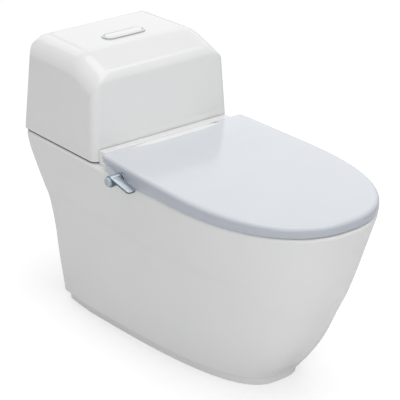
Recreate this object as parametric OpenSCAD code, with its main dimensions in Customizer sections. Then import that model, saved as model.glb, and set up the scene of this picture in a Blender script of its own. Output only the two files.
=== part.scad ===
// Floor-standing skirted toilet with a non-electric bidet seat.
// Millimetres. +Z is up, the bowl points to -Y, the hood stands at +Y and the wash lever is on the -X side.
// The origin is the centre of the waste outlet on the floor.

/* [Ceramic body] */
// Height of the rim and deck above the floor
rim_z = 376; // [370:1:390]
// Half the width of the rim where it is widest
rim_w = 179.7; // [176:0.1:182]
// Distance from the outlet forward to the front of the rim
rim_front = 508; // [500:1:520]
// Distance from the outlet back to the rear of the deck
deck_rear = 290; // [286:1:300]
// Half the width of the deck at its rear
deck_rear_w = 165.2; // [162:0.1:170]
// Half the width of the pedestal at the floor
foot_w = 125.5; // [120:0.5:132]
// Half the width of the pedestal's rear at the floor
foot_rear_w = 117.7; // [112:0.1:122]
// Distance from the outlet forward to the front of the pedestal
foot_front = 337; // [325:1:350]
// Distance from the outlet back to the rear of the pedestal
foot_rear = 238.8; // [234:0.1:246]
// Height of the recessed plinth
plinth_h = 20; // [16:1:26]
// How far the plinth is set back under the skirt
plinth_inset = 12; // [8:1:16]
// Thickness of the skirt's wall
wall = 12; // [10:0.5:14]
// Thickness of the deck and rim
deck_t = 18; // [16:0.5:20]
// Radius along the outer edge of the rim
rim_edge_r = 8; // [5:0.5:10]

/* [Bowl and trapway] */
// Half the width of the bowl's opening
bowl_w = 134; // [128:1:138]
// Distance from the outlet forward to the front of the bowl's opening
bowl_front = 462; // [455:1:466]
// Distance from the outlet forward to the rear of the bowl's opening
bowl_rear = 100; // [97:0.5:102]
// Thickness of the bowl's wall
bowl_wall = 10; // [8:0.5:12]
// Height of the bowl's floor
sump_z = 104; // [98:1:110]
// Radius of the trapway's passage
trap_r = 27; // [24:0.5:29]
// Thickness of the trapway's wall
trap_wall = 9; // [7:0.5:10]
// Height of the trapway's centre line at the weir
weir_z = 238; // [232:1:244]
// Radius of the outlet's socket
outlet_r = 40; // [37:0.5:42]
// Depth of the outlet's socket
outlet_depth = 30; // [26:1:34]

/* [Hood] */
// Half the width of the hood at its front, at the seam
hood_w = 169.5; // [166:0.1:171]
// Half the width of the hood at its rear, at the seam
hood_rear_w = 164.1; // [157:0.1:165]
// Distance from the outlet back to the hood's front face, at the seam
hood_front = 36.6; // [35:0.1:42]
// Height of the hood's flat top above the deck
hood_h = 200.5; // [190:0.5:210]
// How steeply the brow falls from the flat top to the hood's front edge
brow_slope = 0.387; // [0.3:0.001:0.45]
// Distance from the outlet back to where the brow leaves the flat top
brow_y = 110; // [100:1:125]
// Radius of the hood's upright corners
hood_corner_r = 16; // [14:1:24]
// Radius of the hood's top side edges
hood_side_r = 48; // [40:1:58]
// Radius of the hood's top front edge
hood_end_r = 15; // [12:1:20]
// Radius of the hood's top rear edge and of its upright rear corners
hood_back_r = 13; // [10:1:18]
// Thickness of the hood's shell
hood_t = 6; // [4:0.5:7]
// Height of the dark seam between deck and hood
seam_h = 3; // [2:0.5:4]

/* [Flush button] */
// Distance from the outlet back to the middle of the button
button_y = 163; // [156:1:168]
// Length of the button
button_l = 92; // [84:1:96]
// Width of the button
button_w = 21; // [18:1:24]
// Width of the flange round the button
bezel_rim = 3.5; // [3:0.5:5]
// Travel of the button
button_travel = 8; // [6:0.5:9]

/* [Seat] */
// Distance of the seat's bolts from the middle line
seat_bolt_x = 70; // [68:1:80]
// Width of the lid
lid_width = 370; // [366:1:374]
// Distance from the outlet forward to the front of the lid
lid_front = 504; // [498:1:510]
// Distance from the outlet back to the rear edge of the lid
lid_rear = 7.4; // [6:0.1:8]
// Height of the lid's rear edge above the rim
lid_rear_h = 35.6; // [35:0.1:36.5]
// Height of the lid's front edge above the rim
lid_front_h = 21.3; // [21:0.1:22]
// Thickness of the lid's shell
lid_t = 3.5; // [3:0.1:4]
// How far the middle of the lid stands above its edges
lid_crown = 5; // [3:0.5:7]
// Height of the lid's lower edge above the rim
lid_gap = 2.5; // [2:0.5:3.5]
// Distance from the outlet forward to the hinge's axis
hinge_y = 8; // [7.6:0.1:9]
// Height of the hinge's axis above the rim
hinge_h = 20; // [19.5:0.1:20.5]
// Radius of the hinge pins
pin_r = 5; // [4:0.1:5.2]
// Half the width of the seat ring
ring_w = 178.5; // [176:0.1:179]
// Half the width of the ring's opening
ring_hole_w = 113; // [105:1:118]
// Length of the ring's opening
ring_hole_l = 268; // [255:1:275]

/* [Wash lever] */
// Distance from the outlet forward to the lever's axis
lever_y = 62; // [58:0.5:66]
// Height of the lever's axis above the rim
lever_h = 7.4; // [7:0.1:8]
// Radius of the lever's hub
lever_r = 11.5; // [10:0.1:12]
// Length of the lever's hub
hub_l = 26.5; // [24:0.5:30]
// Reach of the lever's paddle from its axis
lever_reach = 43; // [36:1:50]
// How much narrower the paddle is than the hub is long
paddle_step = 6.5; // [4:0.5:8]
// Radius of the lever's shaft
shaft_r = 4; // [3.5:0.1:4.5]

/* [Wash nozzles] */
// Radius of each nozzle tube
nozzle_r = 4.5; // [4:0.1:4.8]
// Distance between the two nozzles' centre lines
nozzle_pitch = 22; // [20:1:28]
// Length of each nozzle tube
nozzle_l = 42; // [36:1:43]
// Angle of the nozzles below the level
nozzle_tilt = 40; // [38:1:42]

/* [Cistern] */
// Space between the cistern and the hood's outside at the hood's rear corners
cistern_side_gap = 26.1; // [22:0.1:32]
// Space between the cistern and the hood's outside at the front and rear
cistern_end_gap = 33.7; // [32:0.1:40]
// Space between the cistern's rim and the outside of the hood's top
cistern_top_gap = 86.5; // [82:0.5:92]
// Thickness of the cistern's wall
cistern_t = 3.5; // [3:0.5:4.5]
// Distance from the outlet back to the flush valve and the fill valve
valve_y = 165; // [163:1:167]
// Distance of the flush valve from the middle line
valve_x = 35; // [33:1:38]
// Distance of the fill valve from the middle line
fill_x = 75; // [70:1:80]
// Radius of the fill valve's hose end
fill_r = 10.4; // [9.5:0.1:10.5]
// Radius of the bidet seat's threaded inlet
inlet_r = 8.3; // [7.5:0.1:8.5]

/* [Hidden] */

// Running clearance of a shaft in its hole, and the gap between pieces that only lie near each other
fit = 0.05;
gap = 0.3;
fine = 64;

// Plan outlines: steps on the front curve, along the side and round the rear corner
smooth_steps = [14, 5, 5];
plain_steps = [8, 2, 3];

function mix(a, b, s) = a + (b - a) * s;
function mirrored(half) = concat(half, [for (i = [len(half) - 1:-1:1]) [-half[i].x, half[i].y]]);

// A plan outline, widest at yc with half width w: a rounded front to yf, sides that draw in
// to half width wr, and a rear at yr with corners of radius rc.
function outline(w, wr, yf, yr, yc, n, rc, steps) = mirrored(concat(
    [for (i = [0:steps[0]]) let (t = 90 * i / steps[0])
        [w * pow(sin(t), 2 / n), yc - (yc - yf) * pow(cos(t), 2 / n)]],
    [for (i = [1:steps[1]]) let (u = i / steps[1])
        [mix(w, wr, pow(u, 1.3)), mix(yc, yr - rc, u)]],
    [for (i = [1:steps[2]]) let (a = 90 * i / steps[2])
        [wr - rc + rc * cos(a), yr - rc + rc * sin(a)]]));

function at_height(points, z) = [for (p = points) [p.x, p.y, z]];

// Faces of a solid through m rings of n points that are mirror images about x = 0
function cap_faces(n, first, up) = [for (i = [0:(n - 1) / 2 - 1])
    let (quad = i == 0 ? [0, 1, n - 1] : [i, i + 1, n - i - 1, n - i])
    [for (k = [0:len(quad) - 1]) first + quad[up ? len(quad) - 1 - k : k]]];
function loft_faces(n, m) = concat(
    cap_faces(n, 0, false),
    [for (k = [0:m - 2], i = [0:n - 1]) let (a = k * n, j = (i + 1) % n)
        each [[a + i, a + n + i, a + n + j], [a + i, a + n + j, a + j]]],
    cap_faces(n, (m - 1) * n, true));

module loft(rings)
    polyhedron([for (r = rings) each r], loft_faces(len(rings[0]), len(rings)), convexity = 10);

// Keeps its children's size and closes them into one shell
module one_shell() resize([0, 0, 0]) children();

// A smooth curve through [x, y] knots with falling x
function slope(k, i) = let (a = max(i - 1, 0), b = min(i + 1, len(k) - 1))
    (k[b].y - k[a].y) / (k[b].x - k[a].x);
function curve(k, x, i = 0) = i < len(k) - 2 && x < k[i + 1].x ? curve(k, x, i + 1) :
    let (h = k[i + 1].x - k[i].x, t = min(max((x - k[i].x) / h, 0), 1))
    (1 + 2 * t) * (1 - t) * (1 - t) * k[i].y + t * (1 - t) * (1 - t) * h * slope(k, i)
    + t * t * (3 - 2 * t) * k[i + 1].y - t * t * (1 - t) * h * slope(k, i + 1);

// Extrudes a profile drawn in Y and Z from x0 to x1
module along_x(x0, x1) translate([x0, 0, 0]) rotate([90, 0, 90]) linear_extrude(x1 - x0) children();
// A round bar from x0 to x1
module bar_x(r, x0, x1, y, z)
    translate([x0, y, z]) rotate([0, 90, 0]) cylinder(r = r, h = x1 - x0, $fn = fine);
module both_sides() for (s = [0, 1]) mirror([s, 0, 0]) children();
module tube(r, bore, z0, z1) translate([0, 0, z0]) difference() {
    cylinder(r = r, h = z1 - z0, $fn = fine);
    translate([0, 0, -1]) cylinder(r = bore, h = z1 - z0 + 2, $fn = fine);
}
// A flat-sided plan with true round corners
module round_rect(w, l, r) {
    square([w - 2 * r, l], center = true);
    square([w, l - 2 * r], center = true);
    for (x = [-1, 1], y = [-1, 1]) translate([x * (w / 2 - r), y * (l / 2 - r)]) circle(r = r, $fn = fine);
}
module pill(l, w) round_rect(l, w, w / 2 - 0.001);

// Ceramic body

skirt_z = plinth_h + 3;
// Share of the way from the rim's plan to the pedestal's, against height above the skirt's edge
side_knots = [[1, 0], [0.907, 0.085], [0.782, 0.28], [0.657, 0.49], [0.609, 0.58], [0.547, 0.65],
    [0.419, 0.755], [0.235, 0.85], [0.096, 0.94], [0, 1]];
front_knots = [[1, 0], [0.907, 0.066], [0.782, 0.143], [0.657, 0.22], [0.547, 0.302], [0.419, 0.435],
    [0.235, 0.63], [0.096, 0.83], [0, 1]];

function body_plan(z, inset, steps) = let (
        h = (z - skirt_z) / (rim_z - skirt_z),
        s = z < skirt_z ? 1 : curve(side_knots, h),
        f = z < skirt_z ? 1 : curve(front_knots, h))
    outline(
        mix(rim_w, foot_w, s) - inset, mix(deck_rear_w, foot_rear_w, s) - inset,
        mix(-rim_front, -foot_front, f) + inset, mix(deck_rear, foot_rear, s) - inset,
        mix(-220, 134, f), mix(2.3, 3, f), 22 - min(inset, 12), steps);
function body_ring(z, inset, steps) = at_height(body_plan(z, inset, steps), z);

body_levels = [0, 0.05, 0.12, 0.2, 0.3, 0.4, 0.47, 0.53, 0.58, 0.63, 0.69, 0.76, 0.83, 0.9, 0.95];
under_z = rim_z - deck_t;

module body_skin() loft(concat(
    [body_ring(0, plinth_inset, smooth_steps), body_ring(plinth_h - 2, plinth_inset, smooth_steps),
        body_ring(plinth_h, plinth_inset - 1, smooth_steps), body_ring(plinth_h + 0.5, 3, smooth_steps)],
    [for (s = body_levels) body_ring(mix(skirt_z, rim_z - rim_edge_r, s), 0, smooth_steps)],
    [for (a = [0:22.5:90])
        body_ring(rim_z - rim_edge_r * (1 - sin(a)), rim_edge_r * (1 - cos(a)), smooth_steps)]));

module body_cavity() loft(concat(
    [body_ring(-2, plinth_inset + wall, plain_steps), body_ring(skirt_z, plinth_inset + wall, plain_steps)],
    [for (s = [0.1, 0.3, 0.45, 0.55, 0.63, 0.76, 0.88, 1])
        body_ring(mix(skirt_z, under_z, s), wall, plain_steps)]));

// Bowl sections: height share, half width share, front share, rear share and rear corner
bowl_knots = [[0, 0.2, 0.17, 0.55], [0.03, 0.3, 0.23, 0.5], [0.1, 0.36, 0.29, 0.46], [0.2, 0.44, 0.4, 0.42],
    [0.32, 0.52, 0.53, 0.36], [0.45, 0.64, 0.68, 0.3], [0.58, 0.77, 0.82, 0.2], [0.7, 0.89, 0.92, 0.1],
    [0.8, 0.96, 0.97, 0.04], [0.9, 1, 1, 0], [0.975, 1, 1, 0]];
bowl_mid = -230;
function bowl_ring(z, w, f, r, grow, steps) = at_height(outline(
    w * bowl_w + grow, w * bowl_w * 0.86 + grow, mix(bowl_mid, -bowl_front, f) - grow,
    mix(-bowl_rear, bowl_mid, r * 0.72) + grow, bowl_mid, 2.2, w * bowl_w * 0.62 + grow * 0.5, steps), z);
module bowl_form(grow, steps, top) loft(concat(
    [for (k = bowl_knots)
        bowl_ring(mix(sump_z, rim_z, k[0]) - (k[0] < 0.05 ? grow : 0), k[1], k[2], k[3], grow, steps)],
    top));
module bowl_inside() bowl_form(0, [12, 3, 6],
    [bowl_ring(rim_z - 3, 1, 1, 0, 1.5, [12, 3, 6]), bowl_ring(rim_z + 0.5, 1, 1, 0, 4.5, [12, 3, 6]),
        bowl_ring(rim_z + 2, 1, 1, 0, 4.5, [12, 3, 6])]);
module bowl_outside() bowl_form(bowl_wall, plain_steps, []);

// The trapway's centre line, from the bowl's floor over the weir and down to the outlet
trap_path = [[-182, sump_z + 26], [-150, sump_z + 29], [-122, sump_z + 40], [-100, sump_z + 66],
    [-84, weir_z - 38], [-66, weir_z - 10], [-42, weir_z], [-20, weir_z - 10], [-6, weir_z - 34],
    [0, weir_z - 70], [0, weir_z - 120], [0, outlet_depth + 14], [0, outlet_depth - 4]];
function trap_slope(i) = let (a = trap_path[max(i - 1, 0)], b = trap_path[min(i + 1, len(trap_path) - 1)])
    atan2(b.y - a.y, b.x - a.x);
function trap_ring(i, r) = let (t = trap_slope(i)) [for (k = [0:14]) let (a = 360 * k / 15)
    [-r * sin(a), trap_path[i].x + r * cos(a) * sin(t), trap_path[i].y - r * cos(a) * cos(t)]];
module trap_tube(r) loft([for (i = [0:len(trap_path) - 1]) trap_ring(i, r)]);

seat_bolt_y = -35;
flush_way_z = under_z - 28;
flush_way_r = 26;
flush_way_h = 26;
flush_mouth_w = 44;
module flush_way(grow) hull() {
    translate([valve_x, valve_y, flush_way_z])
        cylinder(r = flush_way_r + grow, h = flush_way_h + 2 * grow, center = true, $fn = 24);
    translate([0, -bowl_rear + 18 - grow, flush_way_z])
        cube([flush_mouth_w + 2 * grow, 12, flush_way_h + 2 * grow], center = true);
}
module flush_mouth() translate([-flush_mouth_w / 2, -bowl_rear - 14, flush_way_z - flush_way_h / 2])
    cube([flush_mouth_w, 36, flush_way_h]);

rear_door_w = 170;
rear_door_h = 300;

module ceramic_body() color("white") one_shell() difference() {
    union() {
        difference() {
            body_skin();
            body_cavity();
            translate([-rear_door_w / 2, foot_rear - 70, -2]) cube([rear_door_w, 200, rear_door_h]);
        }
        bowl_outside();
        trap_tube(trap_r + trap_wall);
        cylinder(r = outlet_r + 8, h = outlet_depth + 8, $fn = 32);
        flush_way(8);
    }
    bowl_inside();
    trap_tube(trap_r);
    flush_way(0);
    flush_mouth();
    translate([0, 0, -1]) cylinder(r = outlet_r, h = outlet_depth + 1, $fn = 32);
    translate([valve_x, valve_y, flush_way_z]) cylinder(r = flush_hole_r, h = 60, $fn = 32);
    translate([-fill_x, valve_y, under_z - 1]) cylinder(r = fill_neck_r + 2, h = deck_t + 2, $fn = 24);
    both_sides() translate([seat_bolt_x, seat_bolt_y, under_z - 1])
        cylinder(r = 7.5, h = deck_t + 2, $fn = 24);
}

// The socket's sleeve, which takes the floor's waste pipe, and the seal round the socket
sleeve_t = 3;
module outlet_sleeve() color("gray") tube(outlet_r - gap, outlet_r - gap - sleeve_t, 0, outlet_depth - gap);
module drain_seal() color("dimgray") tube(outlet_r + 22, outlet_r + 8 + gap, 2, 22);

// Hood and its seam

hood_z = rim_z + seam_h + gap;
hood_rear = deck_rear;
hood_top = rim_z + hood_h;
hood_mid_y = (hood_front + hood_rear) / 2;

// Height lost within r of a rounded edge
function edge_drop(d, r) = d >= r ? 0 : r - sqrt(r * r - (r - d) * (r - d));
// The brow is a slope that blends into the flat top
brow_blend = 10;
function brow(y) = let (s = brow_y - y) brow_slope * (s + sqrt(s * s + brow_blend * brow_blend)) / 2;
// Walls lean inwards as they rise
side_lean = 0.041;
front_lean = 9.9;
rear_lean = 16.7;
function leaned(x, y, z) = let (h = (z - hood_z) / 161)
    [x * (1 - side_lean * h),
        y + (y < hood_mid_y ? front_lean * h * (hood_mid_y - y) / (hood_mid_y - hood_front)
            : -rear_lean * h * (y - hood_mid_y) / (hood_rear - hood_mid_y)), z];
function hood_plan(inset, steps) = let (rc = hood_corner_r + inset * 0.4, rb = hood_back_r + inset * 0.4,
        w = hood_w - inset, wr = hood_rear_w - inset, yf = hood_front + inset, yr = hood_rear - inset)
    mirrored(concat([[0, yf]], [for (u = [0.55, 0.78]) [u * (w - rc), yf]],
        [for (i = [0:steps]) let (a = 90 * i / steps) [w - rc + rc * sin(a), yf + rc - rc * cos(a)]],
        [for (u = [0.15, 0.32, 0.5, 0.75]) [mix(w, wr, u), mix(yf + rc, yr - rb, u)]],
        [for (i = [0:steps]) let (a = 90 * i / steps) [wr - rb + rb * cos(a), yr - rb + rb * sin(a)]],
        [for (u = [0.78, 0.55]) [u * (wr - rb), yr]]));
function hood_wall_w(y) = mix(hood_w, hood_rear_w, (y - hood_front) / (hood_rear - hood_front));
function hood_z_at(x, y, t) = let (
        ds = edge_drop(max(hood_wall_w(y) - t - abs(x), 0), hood_side_r - t),
        df = edge_drop(max(y - hood_front - t, 0), hood_end_r - t),
        dr = edge_drop(max(hood_rear - t - y, 0), hood_back_r - t))
    hood_top - t - brow(y) - pow(pow(ds, 4) + pow(df, 4) + pow(dr, 4), 0.25);
function hood_ring(inset, t, steps) =
    [for (p = hood_plan(inset + t, steps)) leaned(p.x, p.y, hood_z_at(p.x, p.y, t))];
hood_insets = [0, 1, 3, 6, 10, 15, 21, 28, 38, 50, 66];
module hood_form(t, z0, steps) loft(concat(
    [for (z = [z0, hood_z + 60]) [for (p = hood_plan(t, steps)) leaned(p.x, p.y, z)]],
    [for (d = hood_insets) hood_ring(d, t, steps)]));
// Thickness of the bezel's sleeve
sleeve_b = 1.6;
module tank_hood() color("whitesmoke") difference() {
    one_shell() difference() {
        hood_form(0, hood_z, 6);
        hood_form(hood_t, hood_z - 5, 4);
    }
    translate([0, button_y, hood_top - 30]) linear_extrude(60)
        pill(button_l + 2 * sleeve_b + 2 * gap, button_w + 2 * sleeve_b + 2 * gap);
}
module hood_gasket() color("black") one_shell() difference() {
    loft([for (z = [rim_z, rim_z + seam_h]) at_height(hood_plan(3, 4), z)]);
    loft([for (z = [rim_z - 1, rim_z + seam_h + 1]) at_height(hood_plan(9, 4), z)]);
}

// Flush button

bezel_h = button_travel + 6;
module at_button() translate([0, button_y, 0]) children();
module button_bezel() color("gainsboro") at_button() difference() {
    union() {
        translate([0, 0, hood_top - bezel_h]) linear_extrude(bezel_h + 1)
            pill(button_l + 2 * sleeve_b, button_w + 2 * sleeve_b);
        translate([0, 0, hood_top]) linear_extrude(1.5)
            pill(button_l + 2 * sleeve_b + 2 * bezel_rim, button_w + 2 * sleeve_b + 2 * bezel_rim);
    }
    translate([0, 0, hood_top - 20]) linear_extrude(30) pill(button_l + 2 * gap, button_w + 2 * gap);
}
rod_r = 3;
rocker_z = hood_top - 94.5;
rocker_t = 2;
module flush_button() color("gainsboro") at_button() {
    translate([0, 0, hood_top - bezel_h]) linear_extrude(bezel_h + 3.5) pill(button_l, button_w);
    translate([0, valve_y - button_y, rocker_z + rocker_t + gap])
        cylinder(r = rod_r, h = hood_top - bezel_h - rocker_z - rocker_t - gap + 1, $fn = fine);
}

// Cistern

cistern_y = valve_y;
cistern_z = rim_z + seam_h;
cistern_w = 2 * (hood_rear_w - cistern_side_gap);
cistern_l = hood_rear - hood_front - 2 * cistern_end_gap;
cistern_h = hood_top - cistern_top_gap - cistern_z;
cistern_r = 22;
foot_in = 30;
cistern_floor = cistern_z + cistern_t;
module at_valve() translate([valve_x, valve_y, 0]) children();
module at_fill() translate([-fill_x, valve_y, 0]) children();
shank_r = 29;
shank_bore = 25;
flush_hole_r = shank_r + 3;
fill_neck_r = fill_r + 0.5;
module cistern_tank() color("lightgray") difference() {
    union() {
        translate([0, cistern_y, cistern_z]) linear_extrude(cistern_h)
            round_rect(cistern_w, cistern_l, cistern_r);
        for (x = [-1, 1], y = [-1, 1])
            translate([x * (cistern_w / 2 - foot_in), cistern_y + y * (cistern_l / 2 - foot_in), rim_z])
                cylinder(r = 10, h = seam_h + 1, $fn = fine);
    }
    translate([0, cistern_y, cistern_floor]) linear_extrude(cistern_h)
        round_rect(cistern_w - 2 * cistern_t, cistern_l - 2 * cistern_t, cistern_r - cistern_t);
    at_valve() translate([0, 0, rim_z - 1]) cylinder(r = shank_r + gap, h = 20, $fn = fine);
    at_fill() translate([0, 0, rim_z - 1]) cylinder(r = fill_neck_r + gap, h = 20, $fn = fine);
}
module tank_seal() color("dimgray") at_valve() tube(flush_hole_r + 14, flush_hole_r + gap, rim_z, cistern_z);

tower_r = 37;
tower_t = 3;
tower_top = cistern_z + cistern_h - 26;
tower_flange_t = 5;
shank_l = 22;
tube_r = 14;
tube_t = 3;
plate_r = 30;
plate_z = cistern_floor + tower_flange_t + 3;
collar_r = 17;
rocker_hub_r = 4.2;
pivot_x = 14;
pivot_r = 2.5;
fork_y = tube_r + 0.5;
fork_t = 4;
ear_y = fork_y + fork_t + gap;
window_w = 18;
module at_pivot() translate([pivot_x, valve_y, rocker_z]) children();
module bar_y(r, half) translate([0, half, 0]) rotate([90, 0, 0]) cylinder(r = r, h = 2 * half, $fn = fine);
module flush_tower() color("white") difference() {
    union() {
        at_valve() {
            translate([0, 0, cistern_floor]) cylinder(r = tower_r + 7, h = tower_flange_t, $fn = fine);
            translate([0, 0, cistern_floor]) cylinder(r = tower_r, h = tower_top - cistern_floor, $fn = fine);
            translate([0, 0, rim_z - shank_l])
                cylinder(r = shank_r, h = shank_l + cistern_floor - rim_z + 1, $fn = fine);
        }
        for (y = [-ear_y - fork_t, ear_y])
            translate([pivot_x - 2 * pivot_r, valve_y + y, tower_top - 1])
                cube([4 * pivot_r, fork_t, rocker_z - tower_top + 1 + 2 * pivot_r]);
    }
    at_valve() {
        translate([0, 0, rim_z - shank_l - 1]) cylinder(r = shank_bore, h = shank_l + 20, $fn = fine);
        translate([0, 0, cistern_floor + tower_flange_t])
            cylinder(r = tower_r - tower_t, h = tower_top - cistern_floor - tower_flange_t - 4, $fn = fine);
        translate([0, 0, tower_top - 10]) cylinder(r = tube_r + fit, h = 20, $fn = fine);
        for (a = [45:90:315]) rotate(a) translate([tube_r + 6, -window_w / 2, plate_z])
            cube([tower_r, window_w, tower_top - plate_z - 18]);
    }
    at_pivot() bar_y(pivot_r, 40);
}
module flush_valve() color("royalblue") at_valve() difference() {
    union() {
        translate([0, 0, plate_z]) cylinder(r = plate_r, h = 4, $fn = fine);
        translate([0, 0, plate_z]) cylinder(r = tube_r, h = rocker_z + 4 - plate_z, $fn = fine);
        translate([0, 0, rocker_z + rocker_t + gap]) cylinder(r = collar_r, h = 4, $fn = fine);
    }
    translate([0, 0, cistern_floor]) cylinder(r = tube_r - tube_t, h = rocker_z, $fn = fine);
}
module valve_seal() color("black") at_valve()
    tube(plate_r + 1, tube_r - 1, cistern_floor + tower_flange_t + gap, plate_z);
module rocker_pin() color("silver") at_pivot() bar_y(pivot_r - fit, ear_y + fork_t);
module flush_rocker() color("royalblue") difference() {
    union() {
        at_pivot() translate([-pivot_x - 5, -4.5, -rocker_t]) cube([pivot_x + 5, 9, 2 * rocker_t]);
        at_pivot() bar_y(rocker_hub_r, fork_y + fork_t);
        for (y = [-fork_y - fork_t, fork_y])
            at_pivot() translate([0, y, -rocker_t]) cube([24, fork_t, 2 * rocker_t]);
    }
    at_pivot() bar_y(pivot_r, 40);
}

fill_top = cistern_z + cistern_h - 14;
stem_r = 12;
stem_bore = 6;
fill_nut_r = 17;
fill_nut_h = 9;
fill_end_l = 22;
fill_shank_l = deck_t + fill_nut_h + fill_end_l + 1;
module fill_valve_stem() color("white") at_fill() difference() {
    union() {
        translate([0, 0, rim_z - fill_shank_l]) cylinder(r = fill_r, h = fill_end_l + 1, $fn = fine);
        translate([0, 0, rim_z - fill_shank_l + fill_end_l]) cylinder(r = fill_neck_r, h = 40, $fn = fine);
        translate([0, 0, cistern_floor]) cylinder(r = fill_nut_r, h = 6, $fn = fine);
        translate([0, 0, cistern_floor]) cylinder(r = stem_r, h = fill_top - cistern_floor, $fn = fine);
    }
    translate([0, 0, rim_z - fill_shank_l - 1])
        cylinder(r = stem_bore, h = fill_top - rim_z + fill_shank_l - 9, $fn = fine);
}
module fill_valve_nut() color("white") at_fill() difference() {
    translate([0, 0, under_z - fill_nut_h]) cylinder(r = fill_nut_r, h = fill_nut_h, $fn = 6);
    translate([0, 0, under_z - fill_nut_h - 1])
        cylinder(r = fill_neck_r + fit, h = fill_nut_h + 2, $fn = fine);
}
module fill_valve_cap() color("royalblue") at_fill() {
    translate([0, 0, fill_top]) cylinder(r = stem_r + 7, h = 9, $fn = fine);
    translate([-5, 0, fill_top]) cube([10, stem_r + 14, 7]);
}
float_h = 38;
module float_cup() color("black") at_fill()
    tube(stem_r + 14, stem_r + gap, cistern_floor + 14, cistern_floor + 14 + float_h);

// Seat plate, base and hinge

lid_w = lid_width / 2;
hinge_z = rim_z + hinge_h;
base_z = rim_z + 0.5;
base_top = rim_z + 26;
tray_top = rim_z + 8;
base_front = -78;
base_rear = -4;
base_end = lid_w - 14;
mid_end = base_end - 61;
end_start = base_end - 23;
barrel_r = 11;
plate_side = 10;
plate_half = mid_end - plate_side;
plate_front = seat_bolt_y - 25;
plate_l = 38;
module hinge_bore(r) bar_x(r, -lid_w - 1, lid_w + 1, -hinge_y, hinge_z);

plate_t = 4;
bolt_r = 4;
nut_bore = bolt_r + fit;
module seat_plate() color("silver") difference() {
    union() {
        translate([-plate_half, plate_front, rim_z]) cube([2 * plate_half, plate_l, plate_t]);
        both_sides() translate([plate_half - 8, plate_front + 10, rim_z])
            cube([8, plate_l - 10, plate_t + 8]);
    }
    both_sides() translate([seat_bolt_x, seat_bolt_y, rim_z - 1])
        cylinder(r = nut_bore, h = 10, $fn = fine);
}
module seat_bolts() color("silver") both_sides() translate([seat_bolt_x, seat_bolt_y, 0]) {
    translate([0, 0, rim_z + plate_t]) cylinder(r = bolt_r + 5, h = 5, $fn = fine);
    translate([0, 0, under_z - 25]) cylinder(r = bolt_r, h = deck_t + 26 + plate_t, $fn = fine);
}
module seat_nuts() color("dimgray") both_sides() translate([seat_bolt_x, seat_bolt_y, 0]) difference() {
    union() {
        translate([0, 0, under_z - 6]) cylinder(r = 13, h = 6, $fn = fine);
        translate([0, 0, under_z - 16]) cylinder(r = 8, h = 11, $fn = fine);
        translate([-16, -1.5, under_z - 16]) cube([32, 3, 9]);
    }
    translate([0, 0, under_z - 20]) cylinder(r = nut_bore, h = 30, $fn = fine);
}
module base_profile() {
    polygon([[base_front, base_z], [base_rear, base_z], [base_rear, hinge_z], [-hinge_y, base_top],
        [base_front + 8, base_top], [base_front, base_top - 8]]);
    translate([-hinge_y, hinge_z]) circle(r = barrel_r, $fn = fine);
}
base_t = 3;
lever_z = rim_z + lever_h;
inlet_y = -40;
inlet_z = rim_z + 10;
pocket_l = plate_front + plate_l - base_front - base_t + 2;
module seat_base() color("ghostwhite") difference() {
    union() {
        along_x(-base_end, base_end)
            polygon([[base_front, base_z], [base_rear, base_z],
                [base_rear, tray_top], [base_front, tray_top]]);
        along_x(-mid_end, mid_end) base_profile();
        both_sides() along_x(end_start, base_end) base_profile();
    }
    translate([-plate_half - gap, base_front + base_t, rim_z - 1])
        cube([2 * (plate_half + gap), pocket_l, base_top - rim_z - 2]);
    both_sides() translate([end_start + base_t, base_front + base_t, rim_z - 1])
        cube([base_end - end_start - 2 * base_t, pocket_l, 20]);
    both_sides() bar_x(pin_r + fit, mid_end - 12, base_end - 8, -hinge_y, hinge_z);
    bar_x(shaft_r + fit, -base_end - 1, -end_start, -lever_y, lever_z);
    bar_x(inlet_r + fit, end_start + 4, base_end + 1, inlet_y, inlet_z);
}
cover_x = base_end + 3.5;
module base_end_covers() color("lavender") difference() {
    both_sides() along_x(base_end, cover_x)
        polygon([[base_front + 1, base_z], [base_rear - 8, base_z], [base_rear - 5, hinge_z - 2],
            [base_front + 4, hinge_z - 2], [base_front + 1, hinge_z - 5]]);
    bar_x(shaft_r + fit, -cover_x - 1, -base_end + 1, -lever_y, lever_z);
    bar_x(inlet_r + fit, base_end - 1, cover_x + 1, inlet_y, inlet_z);
}
module hinge_pins() color("silver") both_sides()
    bar_x(pin_r, mid_end - 11, base_end - 9, -hinge_y, hinge_z);

// Lid

lid_slope = (lid_rear_h - lid_front_h) / (lid_front + lid_rear);
lid_edge_r = 8;
function lid_top(y) = rim_z + lid_front_h + lid_slope * (y + lid_front);
function lid_plan(inset, steps) = outline(lid_w - inset, lid_w - 8.3 - inset,
    -lid_front + inset, lid_rear - inset, -220, 2.3, 8 + inset * 0.1, steps);
function lid_crown_at(d) = lid_crown * (1 - pow(1 - min(d / (lid_w * 0.9), 1), 2));
function lid_ring(d, t, steps) = [for (p = lid_plan(d + t, steps))
    [p.x, p.y, lid_top(p.y) - t - edge_drop(d, lid_edge_r - t) + lid_crown_at(d + t)]];
module lid_form(t, z0, steps) loft(concat(
    [at_height(lid_plan(t, steps), z0)],
    [for (d = [0, 0.8, 2.5, 5, 9, 20, 40, 66, 94, 124, 150]) lid_ring(d, t, steps)]));
notch_y = base_front + 2;
notch_h = hinge_h + 1.5;
knuckle_r = 10;
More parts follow.
